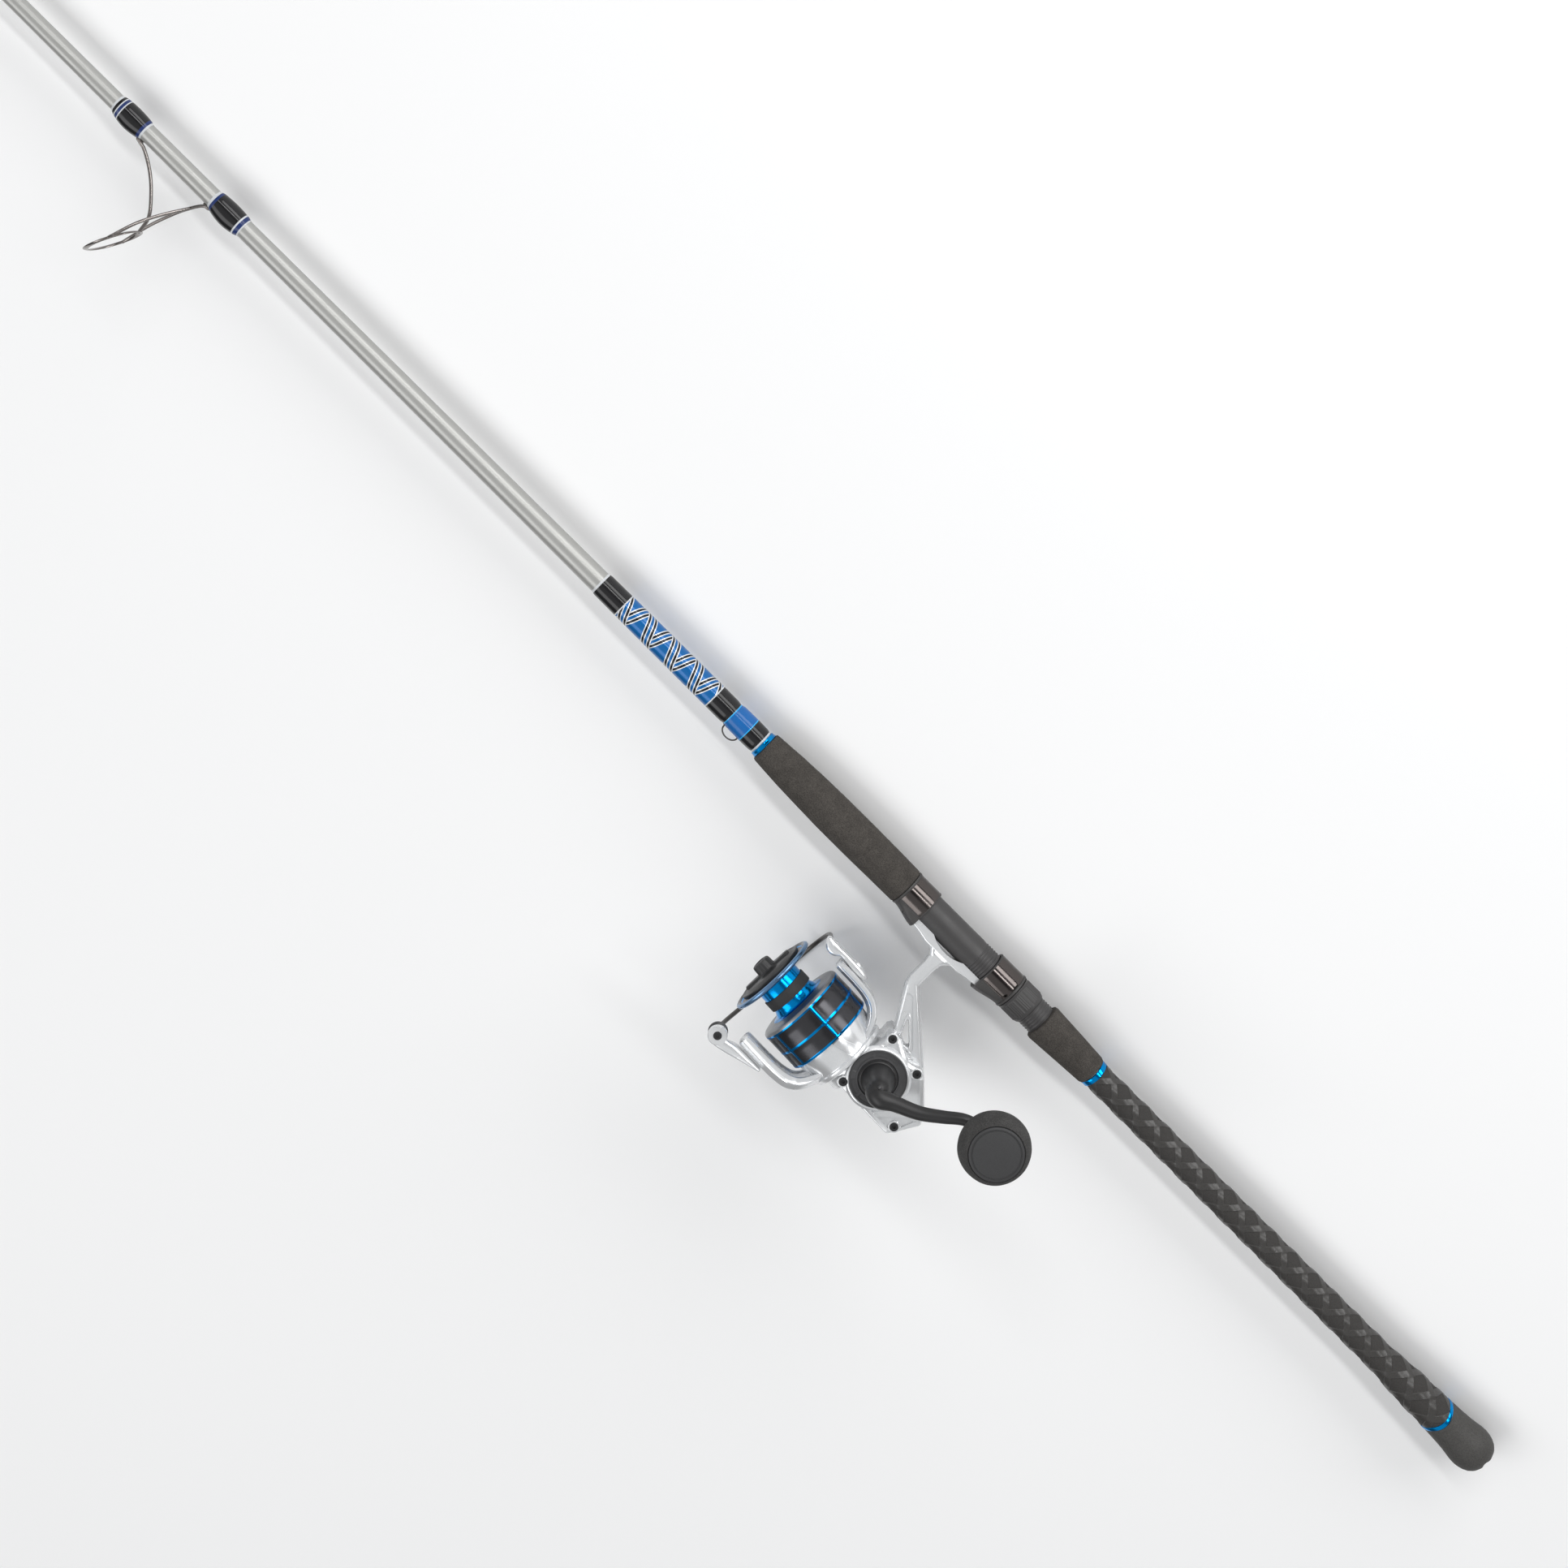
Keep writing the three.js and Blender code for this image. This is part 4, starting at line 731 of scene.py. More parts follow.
def light():
    world = bpy.data.worlds.new("studio")
    bpy.context.scene.world = world
    world.use_nodes = True
    nodes, links = world.node_tree.nodes, world.node_tree.links
    coordinates = nodes.new("ShaderNodeTexCoord")
    split = nodes.new("ShaderNodeSeparateXYZ")
    ramp = nodes.new("ShaderNodeValToRGB")
    spread = nodes.new("ShaderNodeMapRange")
    spread.inputs[1].default_value = -1
    links.new(coordinates.outputs["Generated"], split.inputs[0])
    links.new(split.outputs[1], spread.inputs[0])
    links.new(spread.outputs[0], ramp.inputs[0])
    below, above = ramp.color_ramp.elements
    below.position, below.color = 0.12, (0.22, 0.22, 0.225, 1)
    above.position, above.color = 0.74, (0.17, 0.17, 0.175, 1)
    for position in (0.22, 0.65):
        ramp.color_ramp.elements.new(position).color = (0.98, 0.99, 1, 1)
    background = nodes["Background"]
    links.new(ramp.outputs[0], background.inputs[0])
    background.inputs[1].default_value = 0.6
    lamp("strip", (0, 0.4, 1), 2.4, (3.4, 0.2), 24)
    lamp("overhead", (0, 1.2, 1.1), 2.6, (3.0, 0.9), 40)
    lamp("front", (-0.3, -1.2, 0.8), 2.6, (2.6, 1.4), 26)
    bpy.context.scene.view_settings.view_transform = "Standard"


# ---------------------------------------------------------------- rod

ROD_LENGTH = 2134
BLANK_RADIUS = 7.7
BLANK_TIP_RADIUS = 1.1
TAPER_STATION = 640
BUTT_RING, REAR_GRIP, REAR_RING, REAR_FOAM = 40, 43, 344.6, 349.2
SEAT_REAR, LOCK_NUT, SLIDING_HOOD, SLIDING_MOUTH = 393.8, 404, 419, 439.5
FIXED_MOUTH, FORE_GRIP, FRONT_CHECK = 492, 510.5, 630.9
KEEPER_WRAP, DECORATIVE_WRAP, DECORATIVE_WRAP_END = 634.2, 658.7, 769.7
BORE = 7.9
GAP = 0.2


def blank_radius(station):
    share = max(0, (station - TAPER_STATION) / (ROD_LENGTH - TAPER_STATION))
    return BLANK_RADIUS + (BLANK_TIP_RADIUS - BLANK_RADIUS) * share


def blank():
    stations = [9, TAPER_STATION, *range(700, 2121, 60), 2128]
    profile = [(9, 0), *((s, blank_radius(s)) for s in stations), (2128, 0)]
    fix(lathe("rod_blank", profile, ROD, ["blank"]), "rod", "blank")


SCALLOP = 2.0


def scalloped(fade_low, fade_high, rise=SCALLOP):
    """Moves a joint line back on the viewer's side and forwards above and below, fading away from it."""
    def warp(station, radius, angle):
        share = smoothstep(fade_low, fade_high, station)
        return station - rise * share * math.cos(2 * angle), radius
    return warp


def butt():
    profile = [(0.3, 0), (0, 5.4)]
    profile += [(0.35, 6.6), (1.0, 8.2), (2.4, 10.3), (4.6, 12.1), (7.2, 13.3), (10.3, 14.1), (13.5, 14.4)]
    profile += [(17, 14.2), (21, 13.6), (25, 13.05), (30, 12.6), (34, 12.35), (37, 12.2), (39.4, 12.1)]
    profile += [(39.8, 11.8), (39.8, BORE), (8.8, BORE), (8.8, 0)]
    cap = lathe("butt_grip_cap", profile, ROD, ["butt"], 96, warp=scalloped(24, 38))
    notch_radius, notch_depth = 3.3, 3.2
    cuts = []
    for turn in (Matrix.Rotation(math.pi / 2, 4, "X"), Matrix.Identity(4)):
        tool = post("notch", -17, 17, notch_radius, (0, 0), "butt", 32, place=Matrix.Identity(4))
        tool.data.transform(ROD @ Matrix.Translation((notch_radius - notch_depth, 0, 0)) @ turn)
        cuts.append(tool)
    fix(carve(cap, *cuts), "rod", "butt_cap")
    trim_ring("butt_trim_ring", BUTT_RING, REAR_GRIP - GAP, 12.25, "butt_ring", scalloped(20, 40), 96)


def trim_ring(name, start, end, radius, node, warp, sides=72):
    made = lathe(name, sleeve(start, end, BORE, radius), ROD, ["blue"], sides, warp=warp)
    fix(made, "rod", node)


GRIP_LEAD = 37.2  # two diamonds follow each other along the grip in this length
GRIP_STARTS = 3
TAPE_SHARE = 0.34
TAPE_HEIGHT = 0.45
DIAMOND_STATION = 337.3
DIAMOND_TURN = math.radians(-101)


def grip_radius(station):
    corners = ((43, 12.0), (62, 11.7), (98, 9.7), (220, 9.4), (345, 8.9))
    for (s0, r0), (s1, r1) in zip(corners, corners[1:]):
        if station <= s1:
            share = (station - s0) / (s1 - s0)
            if s0 == 62:
                share = smoothstep(0, 1, share)
            return r0 + (r1 - r0) * max(0, share)
    return corners[-1][1]


def rear_grip():
    """A tube wound with raised tape both ways. The mesh lines follow the tapes, so their edges are clean."""
    steps = [0, 0.035, 0.12, 0.22, TAPE_SHARE - 0.035, TAPE_SHARE, 0.45, 0.56, 0.67, 0.78, 0.89]
    count = len(steps)
    half_lead = GRIP_LEAD / 4
    first = math.floor((REAR_GRIP - 6 - DIAMOND_STATION) / half_lead)
    last = math.ceil((REAR_RING + 6 - DIAMOND_STATION) / half_lead)
    wrap = 2 * GRIP_STARTS * count

    def value(index):
        return index // count + steps[index % count]

    def tape(index):
        return 1.0 if 0 < index % count < 5 else 0.0

    points, raised, lookup = [], [], {}
    for along in range(first * count, last * count + 1):
        for around in range(along % 2, wrap, 2):
            i, j = (around + along) // 2, (around - along) // 2
            p, q = value(i), value(j)
            station = DIAMOND_STATION + half_lead * (p - q)
            angle = DIAMOND_TURN + TAU * (p + q) / (2 * GRIP_STARTS)
            over = max(tape(i), tape(j))
            both = min(tape(i), tape(j))
            radius = grip_radius(station) - TAPE_HEIGHT * (1 - over) + 0.12 * both
            shift = SCALLOP * (1 - smoothstep(46, 64, station)) * math.cos(2 * angle)
            lookup[along, around] = len(points)
            points.append((-station + shift, radius * math.sin(angle), radius * math.cos(angle)))
            raised.append(over)
    faces = []
    for (along, around), index in lookup.items():
        corners = [(along, around), (along + 1, around + 1), (along, around + 2), (along - 1, around + 1)]
        found = [lookup.get((a, b % wrap)) for a, b in corners]
        if None not in found:
            faces.append(found)
    made = build("woven_rear_grip", points, faces, ROD, ["lattice"], crease=28)
    attribute = made.data.attributes.new("raised", "FLOAT", "POINT")
    attribute.data.foreach_set("value", raised)
    return made


def end_grip():
    """The woven grip cut off square at its front end; the butt's ring covers its rear end."""
    made = rear_grip()
    work = bmesh.new()
    work.from_mesh(made.data)
    geometry = work.verts[:] + work.edges[:] + work.faces[:]
    front = ROD @ Vector((-(REAR_RING + 0.7), 0, 0))
    bmesh.ops.bisect_plane(work, geom=geometry, plane_co=front, plane_no=(-1, 0, 0), clear_outer=True)
    work.to_mesh(made.data)
    work.free()
    return made


def foam_grip(name, profile, node):
    made = lathe(name, profile, ROD, ["foam"], 96, warp=wavy)
    fix(made, "rod", node)


def rings_and_foam():
    fix(end_grip(), "rod", "rear_grip")
    warp = scalloped(0, 1, 0.5)
    trim_ring("rear_trim_ring", REAR_RING + 0.9, REAR_FOAM - GAP, 9.35, "rear_grip_ring", warp)
    profile = [(REAR_FOAM, BORE), (REAR_FOAM, 9.3), (REAR_FOAM + 1.8, 10.1), (370, 11.2), (385, 12.1)]
    profile += [(SEAT_REAR - 2.6, 12.5), (SEAT_REAR - 0.8, 12.2), (SEAT_REAR - GAP, 11.2)]
    profile += [(SEAT_REAR - GAP, BORE), (REAR_FOAM, BORE)]
    foam_grip("rear_foam_grip", profile, "rear_eva_grip")
    profile = [(FORE_GRIP, BORE), (FORE_GRIP, 11.6), (FORE_GRIP + 0.8, 12.2), (530, 12.5), (550, 12.7)]
    profile += [(575, 12.6), (595, 12.15), (610, 11.5), (622, 10.8), (FRONT_CHECK - 1.6, 10.3)]
    profile += [(FRONT_CHECK - 0.5, 9.9), (FRONT_CHECK - GAP, 9.3), (FRONT_CHECK - GAP, BORE)]
    profile += [(FORE_GRIP, BORE)]
    foam_grip("foam_fore_grip", profile, "fore_grip")
    profile = [(FRONT_CHECK, BORE), (FRONT_CHECK, 9.0), (631.4, 9.2), (631.9, 8.8), (632.4, 9.0)]
    profile += [(632.9, 8.75), (633.4, 8.85), (633.9, 8.4), (633.9, BORE), (FRONT_CHECK, BORE)]
    fix(lathe("trim_check", profile, ROD, ["blue"]), "rod", "winding_check")


def wavy(station, radius, angle):
    """Foam is never quite round."""
    swell = 0.05 * math.sin(3 * angle + station / 9) + 0.04 * math.sin(station / 5.3)
    return station, radius + (swell if radius > 9 else 0)


COAT_EDGE, COAT_MIDDLE = 0.12, 0.6  # thickness of a wrap and its varnish at its ends and between them
BAND_STEP = 1.2  # longest stretch of a wrap between two rings of its mesh


def banded(name, bands, end, node, bulge=0.0, drop=0.0, sides=64):
    """A varnished wrap made of bands of thread, [start station, look] each, which swells at its middle."""
    start = bands[0][0]
    edges = [band[0] for band in bands] + [end]
    length = end - start
    taper = min(3.0, length / 5)

    def over(station):
        share = (station - start) / length
        edge = smoothstep(0, taper, station - start) * smoothstep(0, taper, end - station)
        coat = COAT_EDGE + (COAT_MIDDLE - COAT_EDGE) * edge + bulge * math.sin(math.pi * share)
        return blank_radius(station) + coat

    profile = [(start, blank_radius(start))]
    for (band_start, look), band_end in zip(bands, edges[1:]):
        parts = max(1, math.ceil((band_end - band_start) / BAND_STEP))
        for k in range(parts):
            station = band_start + (band_end - band_start) * k / parts
            profile.append((station, over(station), look))
    profile += [(end, over(end)), (end, blank_radius(end)), (start, blank_radius(start))]
    looks = list(dict.fromkeys(look for _, look in bands))

    def sag(station, radius, angle):
        under = max(0.0, -math.sin(angle)) ** 2
        swell = math.sin(math.pi * min(1, max(0, (station - start) / length)))
        thick = radius - blank_radius(station)
        return station, radius + (drop * under * swell if thick > 0.05 else 0)

    made = lathe(name, profile, ROD, looks, sides, warp=sag if drop else None)
    fix(made, "rod", node)


def thread_wraps():
    keeper = [
        (KEEPER_WRAP, "thread_silver"), (635.2, "thread_black"), (644.6, "thread_sky"),
        (645.2, "thread_blue"), (658.0, "thread_sky"),
    ]
    banded("keeper_thread", keeper, DECORATIVE_WRAP - 0.1, "keeper_wrap", 0.25)
    decorative = [
        (DECORATIVE_WRAP, "thread_black"), (673.2, "thread_silver"), (674.0, "pattern"),
        (749.6, "thread_silver"), (750.4, "thread_black"), (768.3, "thread_silver"),
    ]
    end = DECORATIVE_WRAP_END
    banded("decorative_thread", decorative, end, "decorative_wrap", 0.1, sides=96)
    half, out, middle = 5.6, 4.6, 651.6
    foot = blank_radius(middle) + 0.5
    route = []
    for k in range(13):
        angle = math.pi * k / 12
        route.append((-middle + half * math.cos(angle), -foot - out * math.sin(angle) ** 0.9, 0))
    route = [(-middle + half + 1, -foot + 0.6, 0), *route, (-middle - half - 1, -foot + 0.6, 0)]
    fix(tube("hook_loop", route, ROD, "wire", 0.5, 10, 3), "rod", "hook_keeper")


RING_LEAN = math.radians(27)
# Where a leg passes between its foot (0) and its grip on the ring (1), along, up and across.
REAR_LEG = ((0.28, 0.19, 0.06), (0.53, 0.4, 0.4), (0.78, 0.66, 0.76))
FRONT_LEG = ((0.09, 0.02, 0), (0.43, 0.21, 0), (0.73, 0.47, 0), (0.95, 0.74, 0))
# Name, ring station, drop, ring radius, wire radius, rear foot's [root, end] and front foot's.
GUIDES = (
    ("stripper_guide", 1112, 59.5, 16.4, 1.25, (1088, 1066), (1138.8, 1160)),
    ("guide_2", 1480, 34, 9.6, 1, (1467, 1450), (1494, 1511)),
    ("guide_3", 1740, 21.5, 6.6, 0.8, (1732, 1717), None),
    ("guide_4", 1910, 15, 5, 0.7, (1904, 1891), None),
    ("guide_5", 2030, 11, 4, 0.6, (2025, 2013), None),
)


def ring_spot(station, drop, radius, angle):
    up = radius * math.cos(angle)
    x = -(station - up * math.sin(RING_LEAN))
    return Vector((x, -drop + up * math.cos(RING_LEAN), radius * math.sin(angle)))


def line_ring(name, station, drop, radius, wire):
    """A ring with a slightly flattened inner face, leaning forwards."""
    points, faces = [], []
    around, sides = 64, 16
    normal = Vector((math.cos(RING_LEAN), math.sin(RING_LEAN), 0))
    for i in range(around):
        angle = TAU * i / around
        spot = ring_spot(station, drop, radius, angle)
        outwards = (spot - Vector((-station, -drop, 0))).normalized()
        for k in range(sides):
            turn = TAU * k / sides
            across, out = math.sin(turn), math.cos(turn)
            reach = wire * (0.72 if out < 0 else 0.95)
            points.append(spot + outwards * reach * out + normal * wire * 1.15 * across)
    for i in range(around):
        for k in range(sides):
            a, b = i * sides, ((i + 1) % around) * sides
            n = (k + 1) % sides
            faces.append((a + k, a + n, b + n, b + k))
    return build(name, points, faces, ROD, ["steel_dark"])


def foot_strip(name, root, end, wire):
    """A flat foot on the blank that thins towards its end."""
    low, high = min(root, end), max(root, end)
    points = []
    count, sides = 9, 12
    for i in range(count):
        station = low + (high - low) * i / (count - 1)
        share = abs(station - end) / abs(root - end)
        half, height = wire * (0.7 + 0.5 * share), wire * (0.3 + 0.6 * share)
        top = -blank_radius(station) + 0.1
        for k in range(sides):
            angle = TAU * k / sides
            points.append((-station, top - height * (0.5 + 0.5 * math.cos(angle)), half * math.sin(angle)))
    return build(name, points, skin(count, sides), ROD, ["steel_dark"])


def leg(name, root, grip, shares, wire, direction):
    """A bent wire from a foot to the ring, which hugs the ring where they meet."""
    foot = Vector((-root, -blank_radius(root) - 2 * GAP - wire, 0))
    start = foot - Vector((direction * 3, -wire * 0.6, 0))
    route = [start, foot]
    for share in shares:
        route.append(Vector(tuple(foot[i] + (grip[i] - foot[i]) * share[i] for i in range(3))))
    return tube(name, [*route, grip], ROD, "steel_dark", wire * 0.8, 12, 6)


def guide_bands(rear, front, forward):
    """Thread bands of a guide's wrap from its rear end to its front one."""
    if forward:
        return [
            (rear, "thread_silver"), (rear + 1.2, "thread_navy"), (rear + 3.0, "thread_black"),
            (front - 6.4, "thread_silver"), (front - 5.7, "thread_navy"), (front - 3.9, "thread_silver"),
            (front - 3.2, "thread_black"), (front - 1.4, "thread_silver"),
        ]
    return [
        (rear, "thread_silver"), (rear + 0.8, "thread_navy"), (rear + 3.2, "thread_silver"),
        (rear + 4.2, "thread_black"), (front - 3.4, "thread_navy"), (front - 1.6, "thread_silver"),
    ]


def guides():
    overhang = 4
    for name, station, drop, radius, wire, rear_foot, front_foot in GUIDES:
        parts = [line_ring("ring", station, drop, radius, wire)]
        root, end = rear_foot
        for side in (-1, 1):
            grip = ring_spot(station, drop, radius + wire * 0.5, side * math.radians(84))
            parts.append(leg("leg", root, grip, REAR_LEG, wire, -1))
        parts.append(foot_strip("foot", root + 1, end, wire))
        wraps = [(name + ("_rear_wrap" if front_foot else "_wrap"), end - overhang, root - 1.5, False)]
        if front_foot:
            root, end = front_foot
            crown = ring_spot(station, drop, radius, 0)
            parts.append(leg("leg", root, crown, FRONT_LEG, wire * 1.1, 1))
            parts.append(foot_strip("foot", root - 1, end, wire))
            wraps.append((name + "_front_wrap", root + 1.5, end + overhang, True))
        size = wire / GUIDES[0][4]
        for node, low, high, forward in wraps:
            bands = guide_bands(low, high, forward)
            banded(node + "_thread", bands, high, node, 0.9 * size, 1.1 * size)
        fix(joined(name + "_frame", *parts), "rod", name)


def tip():
    tube_start = ROD_LENGTH - 22
    tube_end = ROD_LENGTH - 4
    ring = (ROD_LENGTH - 1.5, 5.6, 3.1)
    profile = rounded([(tube_start, 1.4), (tube_start, 1.9), (tube_end, 1.9), (tube_end, 0)], 0.4)
    parts = [lathe("tube", profile, ROD, ["steel_dark"], 32)]
    parts.append(line_ring("ring", *ring, 0.8))
    for side in (-1, 1):
        route = [
            (-(ROD_LENGTH - 14), -1.6, side * 0.4),
            (-(ROD_LENGTH - 8), -3.4, side * 1.6),
            ring_spot(*ring, side * math.pi / 2),
        ]
        parts.append(tube("stay", route, ROD, "steel_dark", 0.5, 12, 6))
    fix(joined("tip_ring", *parts), "rod", "tip_top")
    bands = [
        (tube_start - 9, "thread_silver"), (tube_start - 8.2, "thread_navy"),
        (tube_start - 6.6, "thread_black"),
    ]
    banded("tip_thread", bands, tube_start - GAP, "tip_wrap")


# ---------------------------------------------------------------- reel seat

RIDGE_PITCH = 1.95
RIDGE_HEIGHT = 0.4


def ridged(start, end, radius):
    """Rounded thread ridges."""
    made = []
    station = start
    while station + RIDGE_PITCH <= end + 1e-6:
        for share, height in ((0, 0), (0.2, 0.1), (0.36, 0.85), (0.5, 1), (0.64, 0.85), (0.8, 0.1)):
            made.append((station + share * RIDGE_PITCH, radius + height * RIDGE_HEIGHT))
        station += RIDGE_PITCH
    return made + [(station, radius)]


def seat():
    profile = [(SEAT_REAR, BORE), (SEAT_REAR, 9.8)]
    profile += ridged(SEAT_REAR + 0.6, 452.5, 9.95)
    profile += [(453.6, 10.25), (FORE_GRIP - GAP, 10.25), (FORE_GRIP - GAP, BORE), (SEAT_REAR, BORE)]
    fix(lathe("seat_barrel", profile, ROD, ["seat"], 96), "rod", "reel_seat")


FOOT_REAR, FOOT_FRONT, FOOT_HALF = 430, 502, 6.4


def foot_outline(grow):
    """The reel foot's flanges and its thicker middle, seen from the side."""
    top = [(FOOT_REAR - grow, -11.8), (437, -12.4), (446, -13.4), (453, -14.8)]
    top += [(479, -14.8), (486, -13.4), (494, -12.4), (FOOT_FRONT + grow, -11.8)]
    sides = [(station, drop - grow) for station, drop in top]
    return [(FOOT_REAR - grow, -7), *sides, (FOOT_FRONT + grow, -7)]


def hood(name, back, mouth, inner, collar, body, node):
    """A dark chrome collar whose reel side swells into a matt pocket that is deepest at its mouth."""
    step = math.copysign(1, mouth - back)
    length = abs(mouth - back)
    rim = 1.7
    bright = rim + 0.25
    profile = [(0, inner, "hood_matt"), (0, collar - 0.1), (0.25, collar + 0.35), (rim - 0.3, collar + 0.35)]
    profile += [(rim, collar - 0.15), (bright, collar, "hood")]
    profile += [(bright + (length - rim - 1.4) * k / 8, collar) for k in range(1, 9)]
    profile += [(length - 0.9, collar - 0.05, "hood_matt"), (length - 0.5, collar + 0.15)]
    profile += [(length, collar - 0.1), (length, inner), (0, inner)]

    def from_reel_side(angle):
        return abs((angle - 1.5 * math.pi + math.pi) % TAU - math.pi)

    def swell(distance, radius, angle):
        reach = 3.3 * smoothstep(0.06, 1.0, distance / length) * (radius > inner + 0.1)
        fade = 1 - smoothstep(math.radians(34), math.radians(52), from_reel_side(angle))
        return back + step * distance, radius + reach * fade

    def under(current, distance, angle):
        return 0 if from_reel_side(angle) < math.radians(56) else current

    made = lathe(name, profile, ROD, ["hood_matt", "hood"], 120, warp=swell, look_at=under)
    half = FOOT_HALF + 0.2
    pocket = plate("pocket", foot_outline(0.2), -half, half, (0.6, 0.6), ROD, "hood_matt", corner=0.8)
    fix(carve(made, pocket), body, node)


def lock_nut():
    """A nut with ribbed grip panels round it."""
    panels, ribs = 11, 5
    inner = 10.6

    def relief(station, radius, angle):
        if radius < 11:
            return station, radius
        turn = (angle * panels / TAU + 0.3) % 1
        across = min(turn, 1 - turn) * 2
        rear = smoothstep(LOCK_NUT + 1.8, LOCK_NUT + 2.3, station)
        front = smoothstep(SLIDING_HOOD - 1.8, SLIDING_HOOD - 2.2, station)
        pad = smoothstep(0.12, 0.22, across) * rear * front
        rib = 0.5 + 0.5 * math.cos(TAU * ribs * turn)
        return station, radius + pad * (0.22 + 0.2 * rib)

    stations = [LOCK_NUT + 1.6 + k * 0.4 for k in range(30)]
    profile = [(LOCK_NUT, inner), (LOCK_NUT, 10.9), (LOCK_NUT + 0.4, 11.15), (LOCK_NUT + 1.2, 11.4)]
    profile += [(s, 11.45) for s in stations if s < SLIDING_HOOD - 1.6]
    profile += [(SLIDING_HOOD - 1.4, 11.5), (SLIDING_HOOD - 1.0, 11.9), (SLIDING_HOOD - 0.3, 11.9)]
    profile += [(SLIDING_HOOD - 0.3, inner), (LOCK_NUT, inner)]
    made = lathe("seat_lock_nut", profile, ROD, ["seat"], 330, warp=relief, crease=50)
    fix(made, "locking_nut", "lock_nut")


# ---------------------------------------------------------------- reel body

HALF_BODY = 20
PARTING = 10.4
BODY_OUTLINE = [
    (-39.2, 4.6), (-35.6, 11.2), (-19.5, 26.2), (-13.4, 28.6), (-5, 26.4), (7, 32.2), (13.6, 32.4),
    (15.4, 29), (14.6, 24), (16.4, 18), (16.4, -10.6), (12, -14.2), (-28.5, -13.9), (-31.6, -9.4),
]
SCREWS = ((11.8, 28.8), (-14, 24.8), (-28.4, -7.2), (13, -10.7))
STEM_HALF = 6.2
WINDOW = [(454.4, -53.2), (447.4, -68.2), (438.2, -69)]


def squared(outline):
    """Rod outline points seen from the reel's own frame."""
    turn = REEL.inverted() @ ROD
    made = []
    for station, y in outline:
        spot = turn @ Vector((-station, y, 0))
        made.append((-spot.x, spot.y))
    return made


STEM = [
    (482, -13.6), (474.5, -15.4), (471.2, -19), (470.4, -24), (470.2, -37), (469.2, -41.5), (466.5, -46),
    (453, -68.5), (453, -82), (411, -82), (462.2, -36.5), (462.2, -24), (461.4, -19), (458.2, -15.4),
    (450, -13.6),
]
STEM_POCKET = [(465.2, -44.5), (456.2, -59.5), (452.6, -66.5), (446, -73.4), (430.5, -73.4), (460.6, -43.5)]


def stem_pieces():
    def across(name, outline, half, **more):
        return plate(name, outline, -half, half, place=ROD, **more)

    stem = across("stem", STEM, STEM_HALF, edges=(2.8, 2.8), holes=[WINDOW], corner=3.2, steps=5)
    for side in (-1, 1):
        low, high = sorted((side * (STEM_HALF - 1.1), side * (STEM_HALF + 2)))
        stem = carve(stem, plate("recess", STEM_POCKET, low, high, place=ROD, corner=1.4))
    inside, outside = inset(WINDOW, -0.05), inset(WINDOW, -1.5)
    rim = across("rim", outside, STEM_HALF, edges=(0.5, 0.5), holes=[inside], corner=1.6, steps=2)
    foot = across("foot", foot_outline(0), FOOT_HALF, edges=(0.9, 0.9), corner=1.6)
    barrel = lathe("barrel", [(420, 0), (420, 10.4), (510, 10.4), (510, 0)], ROD, ["silver"], 96)
    scoop_radius = 25
    scoop = post("scoop", -9, 9, scoop_radius, (-466, -11.6 + scoop_radius), sides=120, place=ROD)
    return stem, rim, carve(foot, barrel, scoop)


def body_plate(name, low, high, edges):
    return plate(name, BODY_OUTLINE, low, high, edges, corner=2.2, steps=2)


def reel_disc(start, end, radius, sides=64):
    return lathe("disc", [(start, 0), (start, radius), (end, radius), (end, 0)], REEL, ["silver"], sides)


def on_crank(low, high, radius):
    return post("round", low, high, radius, CRANK, sides=96)


def housing():
    floor_height = -16.8
    mouth = HALF_BODY + 1
    shell = body_plate("shell", -HALF_BODY, PARTING, (3.0, 0))
    neck = rounded([(10, 0), (10, 20.4), (19.6, 20.4), (19.6, 14), (29.6, 14), (29.6, 0)], 0.8)
    shell = carve(shell, lathe("neck", neck, REEL, ["silver"], 96), operation="UNION")
    slider_room = [(-29.8, -9.6), (-4, -9.6), (-4, 9.8), (-29.8, 9.8)]
    shell = carve(
        shell,
        on_crank(floor_height, mouth, 17.6),
        post("stroke_room", floor_height, mouth, 13.6, STROKE_GEAR),
        plate("slider_room", slider_room, -7.6, mouth),
        reel_disc(8, 31, 4.2, 32),
        reel_disc(18.4, 31, 8.2),
        reel_disc(23, 31, 11.2),
    )
    bosses = [on_crank(-17.8, -13, 8.2), post("gear_post", -17.8, -8.6, 2, STROKE_GEAR)]
    shell = carve(shell, *bosses, operation="UNION")
    shell = carve(shell, on_crank(-17, -12, 6.4), on_crank(-21, -12, 4.1))
    fix(joined("reel_housing", shell, *stem_pieces()), "rod", "housing")


BORDER = 3.5
FACE_DEPTH = 0.9
REAR_PANEL = [(-17, -10.4), (-30.2, 2.4), (-34.6, 4.0), (-30.4, -7.6), (-27.4, -10.4)]


